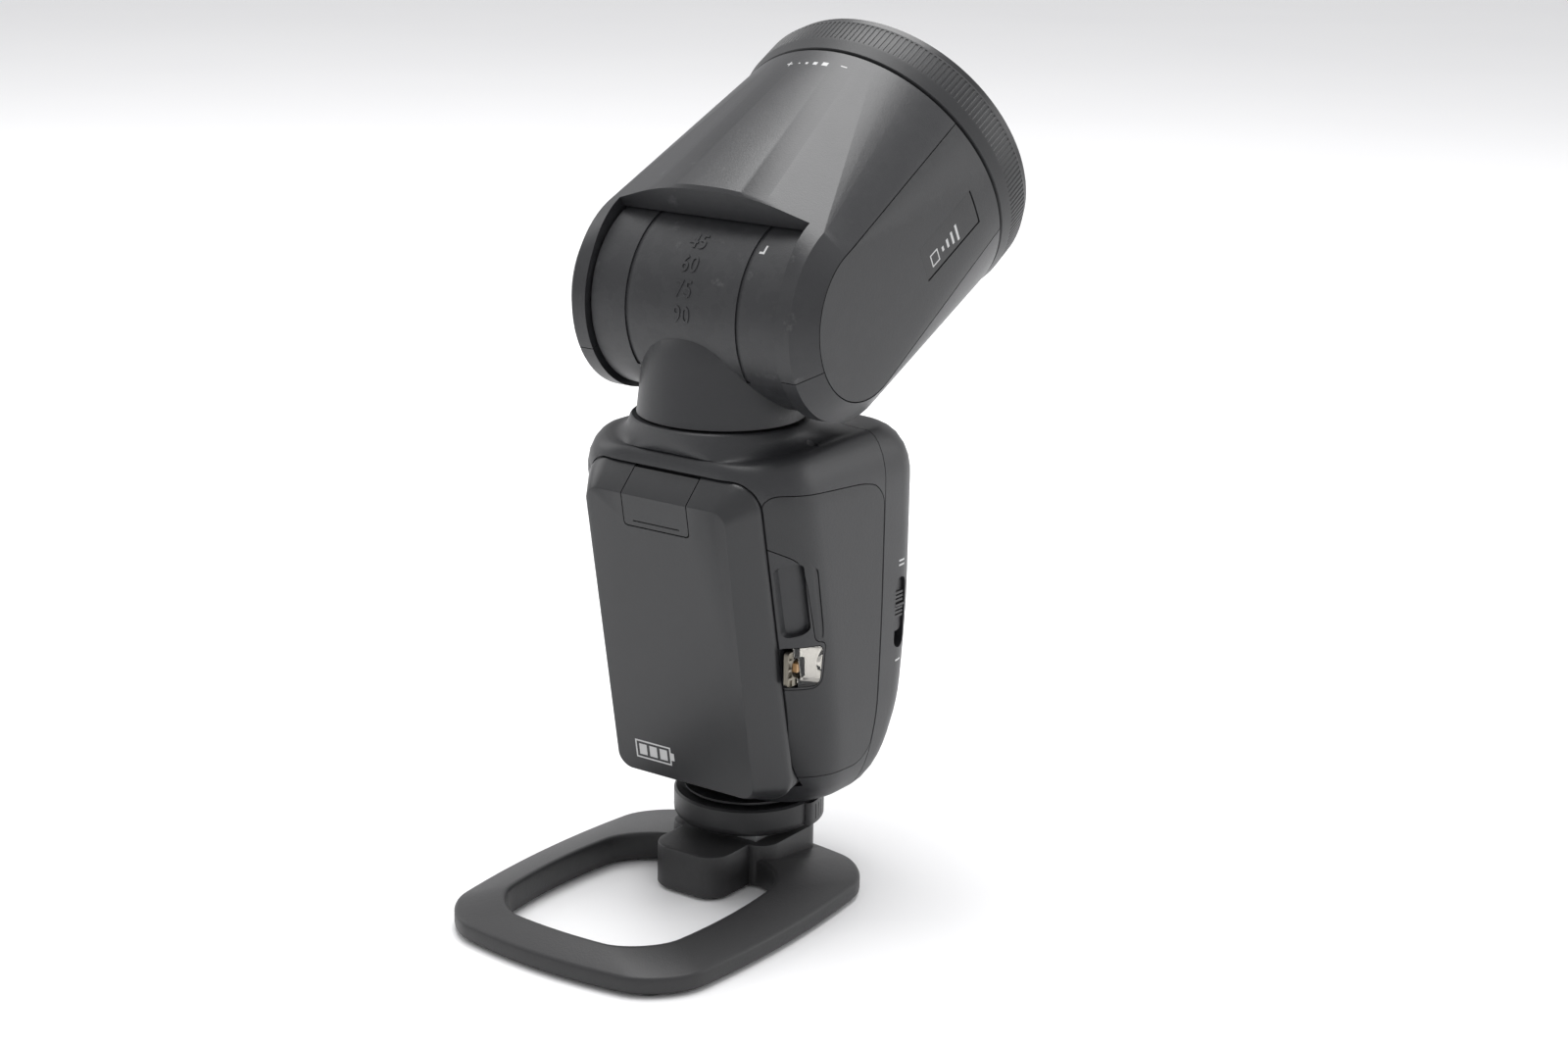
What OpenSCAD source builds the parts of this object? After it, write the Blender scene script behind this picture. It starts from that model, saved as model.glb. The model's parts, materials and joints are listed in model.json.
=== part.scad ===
/* [Stand] */
// Half width of the stand frame at its corners
stand_half_w = 33.1; // [28:0.1:40]
// Extra half width where the long sides bulge
stand_side_bulge = 3.5; // [1:0.1:6]
// Half length of the stand frame at its corners
stand_half_l = 40.4; // [36:0.1:48]
// Extra half length where the short sides bulge
stand_end_bulge = 4.5; // [1:0.1:7]
// Distance from the shoe axis forward to the middle of the frame
stand_offset = 33.8; // [32:0.1:36]
// Height of the frame's outer edge
stand_edge_h = 4.7; // [3:0.1:6]
// Height of the frame at the inner edge
stand_inner_h = 7.4; // [6.5:0.1:9]
// Width of the frame bar at the side
stand_bar_w = 8; // [6:0.1:12]
// Half width of the pod that carries the shoe
pod_half_w = 10; // [8:0.1:13]
// How far the pod reaches forward of the shoe axis
pod_front = 26; // [22:0.1:30]
// Height of the pod
pod_h = 11; // [10.6:0.1:13]

/* [Shoe and foot] */
// Width of the sliding foot plate
foot_w = 18.4; // [17.5:0.1:19]
// Thickness of the foot plate
foot_t = 2; // [1.8:0.1:2.2]
// Thickness of the shoe sheet metal
sheet_t = 1; // [0.8:0.1:1.2]
// Width of the stem above the foot plate
stem_w = 12; // [10:0.1:12.5]
// Clearance of sliding pieces
slide_gap = 0.2; // [0.1:0.05:0.4]
// Outer radius of the lock ring
lock_r = 17.5; // [16:0.1:19]
// Height of the lock ring
lock_h = 7; // [5:0.1:7]
// Radius of the column inside the lock ring
column_r = 11; // [9.5:0.1:12]
// Radius of the lock pin
pin_r = 1.2; // [1:0.05:1.5]

/* [Body] */
// Half width of the body
body_half_w = 31; // [28:0.1:36]
// Height of the underside of the body
body_bottom = 21; // [20.6:0.1:24]
// Height of the ridge round the top of the body
body_top = 110.5; // [104:0.1:122]
// Distance from the shoe axis to the flat back
body_back = 27.5; // [25:0.1:33]
// Plane where the front and rear shells meet
part_y = 10; // [9.5:0.1:11]
// Backward lean of the front face, in degrees
lean = 12; // [9:0.5:13]
// Distance forward to the battery face at mid height
face_y = 23.4; // [22:0.1:26]
// Height at which that distance is measured
face_z = 47; // [45:0.5:49]
// Wall thickness of the shells
wall = 2; // [1.6:0.1:2.4]
// How far the body's front stands back from the battery's face
face_back = 2.6; // [0.8:0.1:3.4]
// Thickness of the side covers
cover_t = 1; // [0.8:0.05:1.2]

/* [Battery] */
// Half width of the battery
batt_half_w = 24; // [22:0.1:25]
// Length of the battery up the leaning face
batt_len = 81.5; // [76:0.1:84]
// Depth of the battery's face slab where it meets the body
slab_t = 5; // [4:0.1:6]
// How much further the slab swells forward at its top
swell_top = 2.8; // [0.5:0.1:3]
// How much further the slab swells forward at its lower end
swell_low = 5; // [3:0.1:5.4]
// Depth of the whole battery
batt_depth = 19; // [18:0.1:20]
// Radius of a battery cell
cell_r = 6.5; // [5:0.1:6.6]

/* [Neck and drum] */
// Distance forward from the shoe axis to the swivel axis
neck_y = 12; // [11:0.1:13]
// Radius of the neck at the collar
neck_r = 19.5; // [18:0.1:20]
// Radius of the swivel spigot
spigot_r = 12; // [10:0.1:12.5]
// Distance forward from the shoe axis to the tilt axis
pivot_y = 5.6; // [5:0.1:6.5]
// Height of the tilt axis above the body's shoulder
neck_rise = 28.7; // [28.5:0.1:45]
// Radius of the tilt drum
drum_r = 22.1; // [20:0.1:22.4]
// Half length of the tilt drum
drum_half_w = 25.9; // [24:0.1:27]
// Gap between the drum and the arms
drum_gap = 0.4; // [0.3:0.05:0.6]
// Radius of the tilt shafts
shaft_r = 5; // [4:0.1:6]
// Radial clearance of shafts, bushes and rings
run_gap = 0.05; // [0.02:0.01:0.09]

/* [Head] */
// Tilt of the head above level as stored
head_tilt = 28.9; // [20:0.1:45]
// How far the beam axis lies below the tilt axis
axis_drop = 5.2; // [4:0.1:6]
// Radius of the barrel behind the zoom ring
barrel_r = 36.8; // [35:0.1:38]
// Distance from the tilt axis to the front of the barrel
barrel_l = 54.6; // [52:0.1:62]
// Half distance over the arms
arm_half_w = 34.5; // [33.5:0.1:35.5]
// Radius of the arm ends
arm_r = 23.4; // [22.6:0.1:23.6]
// Half height of the side panels
panel_half_h = 17.9; // [15:0.1:18.2]
// Half height of the side panels where they meet the zoom ring
panel_end_h = 14.5; // [12:0.1:17]
// Thickness of the side panels
panel_t = 1.2; // [1:0.05:1.4]

/* [Zoom ring and optics] */
// Outer radius of the zoom ring
ring_r = 37.5; // [37:0.1:39]
// Length of the zoom ring
ring_l = 11; // [9:0.1:13]
// Inner radius of the zoom ring
ring_bore_r = 33.5; // [33:0.1:34]
// Wall of the sleeve inside the zoom ring
sleeve_t = 1.8; // [1.4:0.1:2.2]
// Mouth radius of the reflector
bowl_r = 28; // [25:0.1:29]
// Depth of the reflector
bowl_d = 15; // [12:0.1:16]
// Radius of the flash tube
tube_r = 2.4; // [2:0.1:3]

/* [Controls] */
// Radius of the control dial
dial_r = 12; // [10:0.1:13]
// Radius of the button in the dial
dial_cap_r = 6.5; // [5:0.1:7]
// Half width of the display opening
screen_half_w = 18.5; // [16:0.1:19]
// Height of the display opening
screen_h = 32; // [28:0.1:34]
// Length of the mode switch recess
switch_l = 17.5; // [15:0.1:20]

/* [Hidden] */
$fn = 64;
eps = 0.01;
stand_r = 11;
open_half_w = stand_half_w + stand_side_bulge - stand_bar_w - 2.9;
open_half_l = 27.4;
open_y = stand_offset + 7.3;
floor_z = 7.6;
foot_z = floor_z + sheet_t + slide_gap;
rail_z = foot_z + foot_t + slide_gap;
rail_t = 1.5;
lock_z = rail_z + rail_t + 0.4;
base_top = lock_z + lock_h + 0.3;
shoe_half_w = foot_w / 2 + slide_gap;
slab_bottom = -23;
slab_top = slab_bottom + batt_len;
block_top = slab_top - 14.5;
bay_gap = 0.3;
collar_z = body_top + 4;
back_r = 10;
front_r = 15;
spigot_bottom = collar_z - 12;
ring_y = barrel_l + 0.9;
flange_y = ring_y + ring_l + 0.2;
sleeve_r = ring_bore_r - run_gap;
slot_half_w = drum_half_w + drum_gap;
mouth_y = 52;
bulkhead_y = 23;
carriage_y = mouth_y - bowl_d - 4;
dial_z = 47;
screen_z = 64.5;
switch_y = 18;
switch_z = 65.2;
knob_l = 13.4;
knob_z = switch_z + switch_l / 2 - 0.25 - knob_l / 2;
flap_z = 62;
pivot_z = body_top + neck_rise;
hinge_x = 0.8 - body_half_w;
hinge_y = 18.4;

// Outline with bulged sides and rounded corners
module bulged(hw, sb, hl, eb, r) {
  rs = (hl * hl + sb * sb) / (2 * sb);
  re = (hw * hw + eb * eb) / (2 * eb);
  offset(r = r, $fn = 40) offset(delta = -r) intersection() {
    translate([hw + sb - rs, 0]) circle(r = rs, $fn = 240);
    translate([rs - hw - sb, 0]) circle(r = rs, $fn = 240);
    translate([0, hl + eb - re]) circle(r = re, $fn = 200);
    translate([0, re - hl - eb]) circle(r = re, $fn = 200);
  }
}
// Rectangle with round corners
module rrect(x0, y0, x1, y1, r) {
  translate([x0 + r, y0]) square([x1 - x0 - 2 * r, y1 - y0]);
  translate([x0, y0 + r]) square([x1 - x0, y1 - y0 - 2 * r]);
  for (x = [x0 + r, x1 - r]) for (y = [y0 + r, y1 - r]) translate([x, y]) circle(r = r);
}
// Block from one corner to the other
module block(a, b) { translate(a) cube(b - a); }
// Cylinder along X or Y
module rod_x(x0, x1, r) { translate([x0, 0, 0]) rotate([0, 90, 0]) cylinder(r = r, h = x1 - x0); }
module rod_y(y0, y1, r) { translate([0, y0, 0]) rotate([-90, 0, 0]) cylinder(r = r, h = y1 - y0); }
module in_lean() { translate([0, -face_y, face_z]) rotate([lean, 0, 0]) children(); }
module in_head() { translate([0, -pivot_y, pivot_z]) rotate([head_tilt, 0, 0]) children(); }
module on_axis() { translate([0, 0, -axis_drop]) children(); }

// ---- stand ----
module stand_opening() {
  translate([0, -open_y]) bulged(open_half_w, 2.9, open_half_l, 2.2, stand_r);
}
module stand_frame() {
  color("#3a3b3d") difference() {
    union() {
      difference() {
        hull() {
          linear_extrude(stand_edge_h) translate([0, -stand_offset])
            bulged(stand_half_w, stand_side_bulge, stand_half_l, stand_end_bulge, stand_r);
          linear_extrude(stand_inner_h) translate([0, -open_y])
            bulged(open_half_w + 0.8, 2.9, open_half_l + 0.8, 2.2, stand_r);
        }
        translate([0, 0, -1]) linear_extrude(20) stand_opening();
      }
      linear_extrude(pod_h) rrect(-pod_half_w, -pod_front, pod_half_w, 4, 6);
      linear_extrude(pod_h) rrect(-15, -12.5, 15, 10.5, 5);
    }
    block([-shoe_half_w - sheet_t - 0.05, -shoe_half_w - sheet_t - 0.05, floor_z],
          [shoe_half_w + sheet_t + 0.05, 40, 20]);
    block([-2, -8, floor_z - 0.6], [2, 40, 20]);
    translate([0, 0, -1]) cylinder(r = 4.5, h = 7);
    for (x = [-1, 1]) for (y = [-70, 4]) translate([x * 25, y, -1]) cylinder(r = 3.65, h = 2.2);
  }
}
module stand_feet() {
  color("#222222") for (x = [-1, 1]) for (y = [-70, 4]) translate([x * 25, y, 0]) cylinder(r = 3.5, h = 1.2);
}
module thread_insert() {
  color("#b89b5e") difference() {
    cylinder(r = 4.45, h = 5.9);
    translate([0, 0, -1]) cylinder(r = 2.6, h = 9);
  }
}
module shoe_plate() {
  w = shoe_half_w + sheet_t;
  color("#8d8f92") difference() {
    block([-w, -w, floor_z], [w, 9.8, rail_z + rail_t]);
    block([-shoe_half_w, -shoe_half_w, floor_z + sheet_t], [shoe_half_w, 40, rail_z]);
    block([-stem_w / 2 - slide_gap, -stem_w / 2 - slide_gap, floor_z + sheet_t], [stem_w / 2 + slide_gap, 40, 20]);
    block([-2, -8, floor_z - 1], [2, 40, 20]);
  }
}

// ---- foot and lock ----
module pin_hole(extra) { translate([0, -5, 0]) cylinder(r = pin_r + extra, h = 24, $fn = 32); }
module foot_plate() {
  color("#9a9c9f") difference() {
    union() {
      block([-foot_w / 2, -foot_w / 2, foot_z], [foot_w / 2, foot_w / 2, foot_z + foot_t]);
      block([-stem_w / 2, -stem_w / 2, foot_z + foot_t - eps], [stem_w / 2, stem_w / 2, lock_z]);
    }
    pin_hole(run_gap);
    translate([0, 0, foot_z - 1]) cylinder(r = 2.05, h = 1.8, $fn = 32);
    for (x = [-5.5, 5.5]) for (y = [-5, 5]) translate([x, y, foot_z - 1]) cylinder(r = 1.05, h = 1.8, $fn = 32);
  }
}
module foot_contacts() {
  color("#c9b26b") {
    translate([0, 0, foot_z]) cylinder(r = 2, h = 0.75, $fn = 32);
    for (x = [-5.5, 5.5]) for (y = [-5, 5]) translate([x, y, foot_z]) cylinder(r = 1, h = 0.75, $fn = 32);
  }
}
module foot_base() {
  color("#2e2f31") difference() {
    union() {
      translate([0, 0, lock_z]) cylinder(r = column_r, h = base_top - lock_z);
      translate([0, 0, base_top]) cylinder(r = 15, h = body_bottom - base_top);
    }
    pin_hole(run_gap);
  }
}
module lock_ring() {
  color("#343538") difference() {
    union() {
      translate([0, 0, lock_z]) rotate_extrude($fn = 96) polygon([
        [column_r + run_gap, 0], [lock_r - 2, 0], [lock_r - 0.8, 0.5], [lock_r, 1.8],
        [lock_r, lock_h], [column_r + run_gap, lock_h]]);
      intersection() {
        translate([0, 0, lock_z + 0.8]) cylinder(r = lock_r + 1.3, h = lock_h - 1.2, $fn = 96);
        block([4, 0, 0], [30, 13, 40]);
      }
    }
    translate([0, 0, 1]) cylinder(r = column_r + run_gap, h = 40);
  }
}
module lock_pin() {
  color("#c8cacc") translate([0, -5, floor_z + 0.2]) cylinder(r = pin_r, h = 9.5, $fn = 32);
}

// ---- body ----
// Distance forward to the battery face at a height
function face_at(z) = -face_y - (z - face_z) * tan(lean);
// One level slice of the body, drawn in by d
module slice(z, a, yf, yb, d) {
  rf = min(front_r, a - 4) - d;
  rb = back_r - d;
  translate([0, 0, z]) for (s = [-1, 1]) {
    translate([s * (a - d - rf), yf + d + rf, 0]) cylinder(r = rf, h = 0.4, $fn = 48);
    translate([s * (a - d - rb), yb - d - rb, 0]) cylinder(r = rb, h = 0.4, $fn = 40);
  }
}
// Whole body form, drawn in by d
module body_form(d) {
  h = body_half_w;
  b = body_back;
  hull() {
    slice(body_bottom + d, h - 10, -12, b - 10, d);
    slice(33 + d / 2, h - 4, face_at(33) + face_back + 1.7, b - 4, d);
    slice(45, h - 0.6, face_at(45) + face_back, b, d);
    slice(body_top - 10.5 - d / 2, h, face_at(body_top - 10.5) + face_back, b, d);
    slice(body_top - 3.8 - d, h - 2, face_at(body_top - 4.5) + face_back + 0.6, b - 1.5, d);
    slice(body_top - 0.4 - d, h - 5.5, face_at(body_top - 4.5) + face_back + 2.4, b - 5.5, d);
    translate([0, -neck_y, collar_z - 1 - d]) cylinder(r = neck_r + 2.5 - d, h = 1, $fn = 48);
  }
}
// Side outline of a cover, grown by g
module cover_outline(g) {
  offset(delta = g) polygon([[-29.5, 102.5], [1, 100], [6.5, 98.6], [part_y - 0.4, 95],
    [part_y - 0.4, 33], [6, 30], [-14, 31], [-18.5, 35], [-21.5, 46], [-23.4, 54.6],
    [-12.6, 54.6], [-12.6, 65.9], [-15.5, 66.4], [-19.5, 82], [-21.5, 86.5], [-26, 89], [-30.3, 91]]);
}
module side_prism(s, g) {
  rotate([90, 0, 90]) translate([0, 0, s > 0 ? 10 : -40]) linear_extrude(30) cover_outline(g);
}
module window_prism(g) {
  rotate([90, 0, 90]) translate([0, 0, 20]) linear_extrude(14) rrect(-22.6 - g, 55.4 - g, -13.4 + g, 65.2 + g, 1.6);
}
// Room for the battery, drawn in the leaning frame
module bay() {
  in_lean() {
    rotate([-90, 0, 0]) translate([0, 0, -8]) linear_extrude(8 + slab_t + bay_gap)
      rrect(-batt_half_w - bay_gap, -slab_top - bay_gap, batt_half_w + bay_gap, -slab_bottom + bay_gap, 7);
    block([-batt_half_w + 1.2 - bay_gap, 0, slab_bottom + 2 - bay_gap],
          [batt_half_w - 1.2 + bay_gap, batt_depth + bay_gap, block_top + bay_gap]);
  }
}
module body_front_shell() {
  color("#3f4043") difference() {
    body_form(0);
    difference() {
      body_form(wall);
      in_lean() block([-27, -5, slab_bottom - 4], [27, slab_t + 2.2, slab_top + 6]);
      in_lean() block([-27, -5, block_top + 0.8], [27, 8, slab_top + 6]);
    }
    block([-50, part_y, 0], [50, 60, 200]);
    bay();
    for (s = [-1, 1]) difference() {
      side_prism(s, 0.2);
      body_form(cover_t);
    }
    difference() { window_prism(0.1); block([-60, -60, 0], [body_half_w - 5.8, 40, 200]); }
    translate([0, -neck_y, 60]) cylinder(r = spigot_r + 2 + run_gap, h = 80);
    translate([0, 0, body_bottom - 7]) cylinder(r = column_r - 3, h = 12);
    flex_cut();
  }
}
// Finger room beside the battery, on both sides
module flex_cut() {
  for (s = [-1, 1]) in_lean() translate([s * (batt_half_w + 1.2), 2, 30])
    rotate([-90, 0, 0]) translate([0, 0, -9]) linear_extrude(14) rrect(-3.2, -9, 3.2, 9, 1.8);
}
module body_rear_shell() {
  color("#3c3d40") difference() {
    body_form(0);
    body_form(wall);
    block([-50, -60, 0], [50, part_y, 200]);
    block([-screen_half_w, body_back - 5, screen_z], [screen_half_w, body_back + 5, screen_z + screen_h]);
    translate([0, body_back, dial_z]) rod_y(-5, 5, dial_r + 0.3);
    for (s = [-1, 1]) translate([s * 17, body_back, 60.2]) rod_y(-5, 5, 2.8);
    rotate([90, 0, 90]) translate([switch_y, switch_z, 26]) linear_extrude(14)
      rrect(-2.3, -switch_l / 2, 2.3, switch_l / 2, 2.25);
    block([-60, 14, flap_z - 6.2], [5 - body_half_w, 19.4, flap_z + 6.2]);
    for (s = [-1, 1]) translate([s * 14, 13, body_bottom - 7]) cylinder(r = 1.6, h = 7.6, $fn = 24);
    for (s = [-1, 1]) translate([s * 14, 13, body_bottom - 7]) cylinder(r = 0.9, h = 20, $fn = 24);
  }
}
module cover(s) {
  difference() {
    intersection() {
      body_form(0);
      side_prism(s, 0);
    }
    body_form(cover_t - 0.05);
    bay();
    flex_cut();
  }
}
module side_cover_right() { color("#434447") cover(1); }
module side_cover_left() { color("#434447") cover(-1); }
module status_window() {
  color("#d8dde0") difference() {
    intersection() { body_form(0.1); window_prism(0); }
    block([-60, -60, 0], [body_half_w - 4.3, 40, 200]);
    translate([body_half_w - 11, -18, 60.3]) rod_x(0, 7.3, 2.6);
  }
}
module window_reflector() {
  color("#c9ccd0") difference() {
    block([body_half_w - 5.7, -21.6, 56.2], [body_half_w - 4.4, -14.4, 64.4]);
    translate([body_half_w - 11, -18, 60.3]) rod_x(5.8, 8, 2.4);
  }
}
module window_lamp() { color("#b08a5a") block([body_half_w - 5.15, -19, 59.3], [body_half_w - 3.9, -17, 61.3]); }
module main_board() {
  color("#1f5c3a") difference() {
    block([-23, 2.9, 37], [23, 4.5, 92]);
    for (x = [-20, 20]) for (z = [40, 89]) translate([x, 0, z]) rod_y(0, 6, 1.2);
  }
}
module capacitor() { color("#2a2a2e") translate([-10, 13.3, 38]) cylinder(r = 8.6, h = 46); }
module display_panel() {
  color("#20252a") block([-screen_half_w - 1.5, body_back - 5.2, screen_z - 0.5],
    [screen_half_w + 1.5, body_back - 2.6, screen_z + screen_h + 0.5]);
}
module display_glass() {
  color("#15181b") block([-screen_half_w + 0.15, body_back - 2.3, screen_z + 0.15],
    [screen_half_w - 0.15, body_back - 0.2, screen_z + screen_h - 0.15]);
}
module body_screws() {
  color("#8a8c90") for (s = [-1, 1]) {
    translate([s * 14, 13, body_bottom - 1]) cylinder(r = 1.45, h = 1.5, $fn = 24);
    translate([s * 14, 13, body_bottom + 0.4]) cylinder(r = 0.8, h = 6, $fn = 24);
  }
}
module usb_socket() {
  color("#b9bbbe") difference() {
    block([2.2 - body_half_w, 14.8, flap_z - 4.6], [8.6 - body_half_w, 18.4, flap_z + 4.6]);
    block([1 - body_half_w, 15.3, flap_z - 4.1], [7 - body_half_w, 17.9, flap_z + 4.1]);
  }
}
module usb_flap() {
  color("#2c2d2f") {
    difference() {
      intersection() {
        body_form(0.1);
        block([-60, 14.2, flap_z - 6], [1.8 - body_half_w, hinge_y, flap_z + 6]);
      }
      block([1 - body_half_w, 0, 0], [0, 40, 100]);
    }
    translate([hinge_x, hinge_y, flap_z - 6]) cylinder(r = 0.6, h = 12, $fn = 32);
  }
}
module neck_bush() {
  color("#a88a4c") translate([0, -neck_y, collar_z - 9]) difference() {
    cylinder(r = spigot_r + 2, h = 8.6);
    translate([0, 0, -1]) cylinder(r = spigot_r + run_gap, h = 12);
  }
}

// ---- battery ----
module battery_case() {
  b = 2.3;
  color("#404144") in_lean() difference() {
    union() {
      hull() {
        swelled() rotate([-90, 0, 0]) linear_extrude(0.1)
          rrect(-batt_half_w + b, -slab_top + b, batt_half_w - b, -slab_bottom - b, 5);
        swelled() rotate([-90, 0, 0]) translate([0, 0, 2.6]) linear_extrude(0.4)
          rrect(-batt_half_w, -slab_top, batt_half_w, -slab_bottom, 6.7);
        rotate([-90, 0, 0]) translate([0, 0, slab_t - 0.4]) linear_extrude(0.4)
          rrect(-batt_half_w + 0.2, -slab_top + 0.2, batt_half_w - 0.2, -slab_bottom - 0.2, 6.5);
      }
      block([-batt_half_w + 1.2, slab_t - eps, slab_bottom + 2], [batt_half_w - 1.2, batt_depth, block_top]);
    }
    block([-batt_half_w + 2.8, slab_t - 1.2, slab_bottom + 4], [batt_half_w - 2.8, batt_depth - 1.4, block_top - 2]);
    latch_room(0.25);
  }
}
// Moves a slice of the slab forward, more at its lower end
module swelled() {
  s = (swell_low - swell_top) / batt_len;
  multmatrix([[1, 0, 0, 0], [0, 1, s, -swell_top - s * slab_top], [0, 0, 1, 0], [0, 0, 0, 1]]) children();
}
// Room that the release tab slides in
module latch_room(g) {
  block([-9 - g, -8, slab_top - 12 - g], [9 + g, 4.2 + g, slab_top + 5]);
}
module battery_cells() {
  p = 2 * cell_r + 0.4;
  n = floor(2 * (batt_half_w - 2.8) / p);
  color("#5b7a96") in_lean() for (i = [0 : n - 1])
    translate([(i - (n - 1) / 2) * p, slab_t - 1 + cell_r, slab_bottom + 4.4]) cylinder(r = cell_r, h = batt_len - 21.6);
}
module battery_contacts() {
  color("#c9b26b") in_lean() for (i = [-1.5 : 1 : 1.5])
    block([i * 5 - 1.2, batt_depth + 0.02, slab_bottom + 12], [i * 5 + 1.2, batt_depth + 0.2, slab_bottom + 20]);
}
module battery_latch() {
  color("#3b3c3f") in_lean() intersection() {
    block([-9, -swell_top, slab_top - 12], [9, 3.1, slab_top - 0.5]);
    hull() {
      block([-9, 0.05 - swell_top, slab_top - 12], [9, 3.1, slab_top - 2.3]);
      block([-9, 2.8 - swell_top, slab_top - 12], [9, 3.1, slab_top - 0.5]);
    }
  }
}

// ---- controls ----
module mode_switch() {
  color("#2b2c2e") intersection() {
    rotate([90, 0, 90]) translate([switch_y, knob_z, body_half_w - 4.2]) linear_extrude(5)
      rrect(-2.1, -knob_l / 2, 2.1, knob_l / 2, 1.9);
    union() {
      block([0, 0, 0], [body_half_w - 1.2, 60, 100]);
      block([0, 0, knob_z - 0.9], [body_half_w - 0.2, 60, knob_z + 0.9]);
    }
  }
}
module control_dial() {
  color("#333437") translate([0, body_back, dial_z]) difference() {
    union() {
      rod_y(-1.8, 1.6, dial_r);
      rod_y(-3.4, -1.75, dial_r - 1.5);
    }
    rod_y(-6, 6, dial_cap_r + 0.2);
  }
}
module dial_button() { color("#3a3b3e") translate([0, body_back, dial_z]) rod_y(-3.2, 1, dial_cap_r); }
module menu_button(s) { translate([s * 17, body_back, 60.2]) rod_y(-3, 0.7, 2.6); }
module menu_button_left() { color("#3a3b3e") menu_button(-1); }
module menu_button_right() { color("#3a3b3e") menu_button(1); }

// ---- neck and drum ----
module drum_neck() {
  color("#3d3e41") difference() {
    union() {
      translate([0, -pivot_y, pivot_z]) rod_x(-drum_half_w, drum_half_w, drum_r);
      hull() {
        translate([0, -neck_y, collar_z + 0.3]) cylinder(r = neck_r, h = 1.6, $fn = 96);
        translate([0, -8, pivot_z - 3.4]) cylinder(r = neck_r - 0.3, h = 0.8, $fn = 96);
      }
      translate([0, -neck_y, spigot_bottom]) cylinder(r = spigot_r, h = collar_z - spigot_bottom + 2);
    }
    translate([0, -pivot_y, pivot_z]) for (s = [-1, 1]) rod_x(s > 0 ? 14 : -drum_half_w - 1, s > 0 ? drum_half_w + 1 : -14, shaft_r + run_gap);
    translate([0, -neck_y, spigot_bottom - 1]) cylinder(r = 7, h = 24);
    translate([0, -pivot_y, pivot_z]) rod_x(-13.4, 13.4, drum_r - 4);
    translate([0, 1.5 - neck_y, collar_z + 3]) cylinder(r = 14.5, h = 18);
    translate([0, -pivot_y, pivot_z]) for (s = [-1, 1]) rotate([0, 90, 0])
      translate([0, 0, s * 15.3 - 0.5]) difference() {
        cylinder(r = drum_r + 1, h = 1, $fn = 96);
        translate([0, 0, -1]) cylinder(r = drum_r - 0.35, h = 3, $fn = 96);
        translate([5, -60, -1]) cube([60, 60, 4]);
        translate([-60, 0, -1]) cube([120, 60, 4]);
      }
  }
}
module pan_retainer() {
  color("#8a8c90") translate([0, -neck_y, collar_z - 10.9]) difference() {
    cylinder(r = spigot_r + 3, h = 1.6);
    translate([0, 0, -1]) cylinder(r = spigot_r + 0.03, h = 4);
  }
}
module pivot_shafts() {
  color("#b0b2b5") translate([0, -pivot_y, pivot_z]) {
    rod_x(14.4, arm_half_w - panel_t - 0.5, shaft_r);
    rod_x(-arm_half_w + panel_t + 0.5, -14.4, shaft_r);
  }
}

// ---- head ----
// Arm ends on the tilt axis, drawn in by d
module arm_form(d) {
  rotate([0, 90, 0]) rotate_extrude($fn = 64) polygon([
    [0, -arm_half_w + d], [panel_half_h + 0.3 - d, -arm_half_w + d], [arm_r - d, -arm_half_w + 4.4 + d / 2],
    [arm_r - d, arm_half_w - 4.4 - d / 2], [panel_half_h + 0.3 - d, arm_half_w - d], [0, arm_half_w - d]]);
}
// Back of the head above the drum, drawn in by d
module crown_form(d) {
  for (s = [-1, 1]) translate([s * (arm_half_w - 28), 0, 2.6]) rod_y(3, 5, 28 - d, $fn = 96);
}
module head_form(d) {
  hull() {
    on_axis() rod_y(barrel_l - 0.6, barrel_l, barrel_r - d, $fn = 128);
    crown_form(d);
    arm_form(d);
  }
}
// Everything removed from the middle of the head
module head_room() {
  rod_x(-slot_half_w, slot_half_w, drum_r + drum_gap);
  block([-slot_half_w, -60, 0], [slot_half_w, 1.5, 60]);
  block([-slot_half_w, -60, -60], [slot_half_w, 16, 1]);
  rod_x(-arm_half_w + panel_t + 0.3, arm_half_w - panel_t - 0.3, shaft_r + run_gap);
  on_axis() {
    rod_y(42, 90, ring_bore_r);
    translate([0, 28, 0]) rotate([-90, 0, 0]) cylinder(r1 = 21, r2 = ring_bore_r, h = 14.01);
  }
  for (s = [-1, 1]) translate([s * 6, 0, 2.6]) rod_y(4, 36, 25);
  block([-6, 4, -22.4], [6, 36, 27.6]);
}
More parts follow.
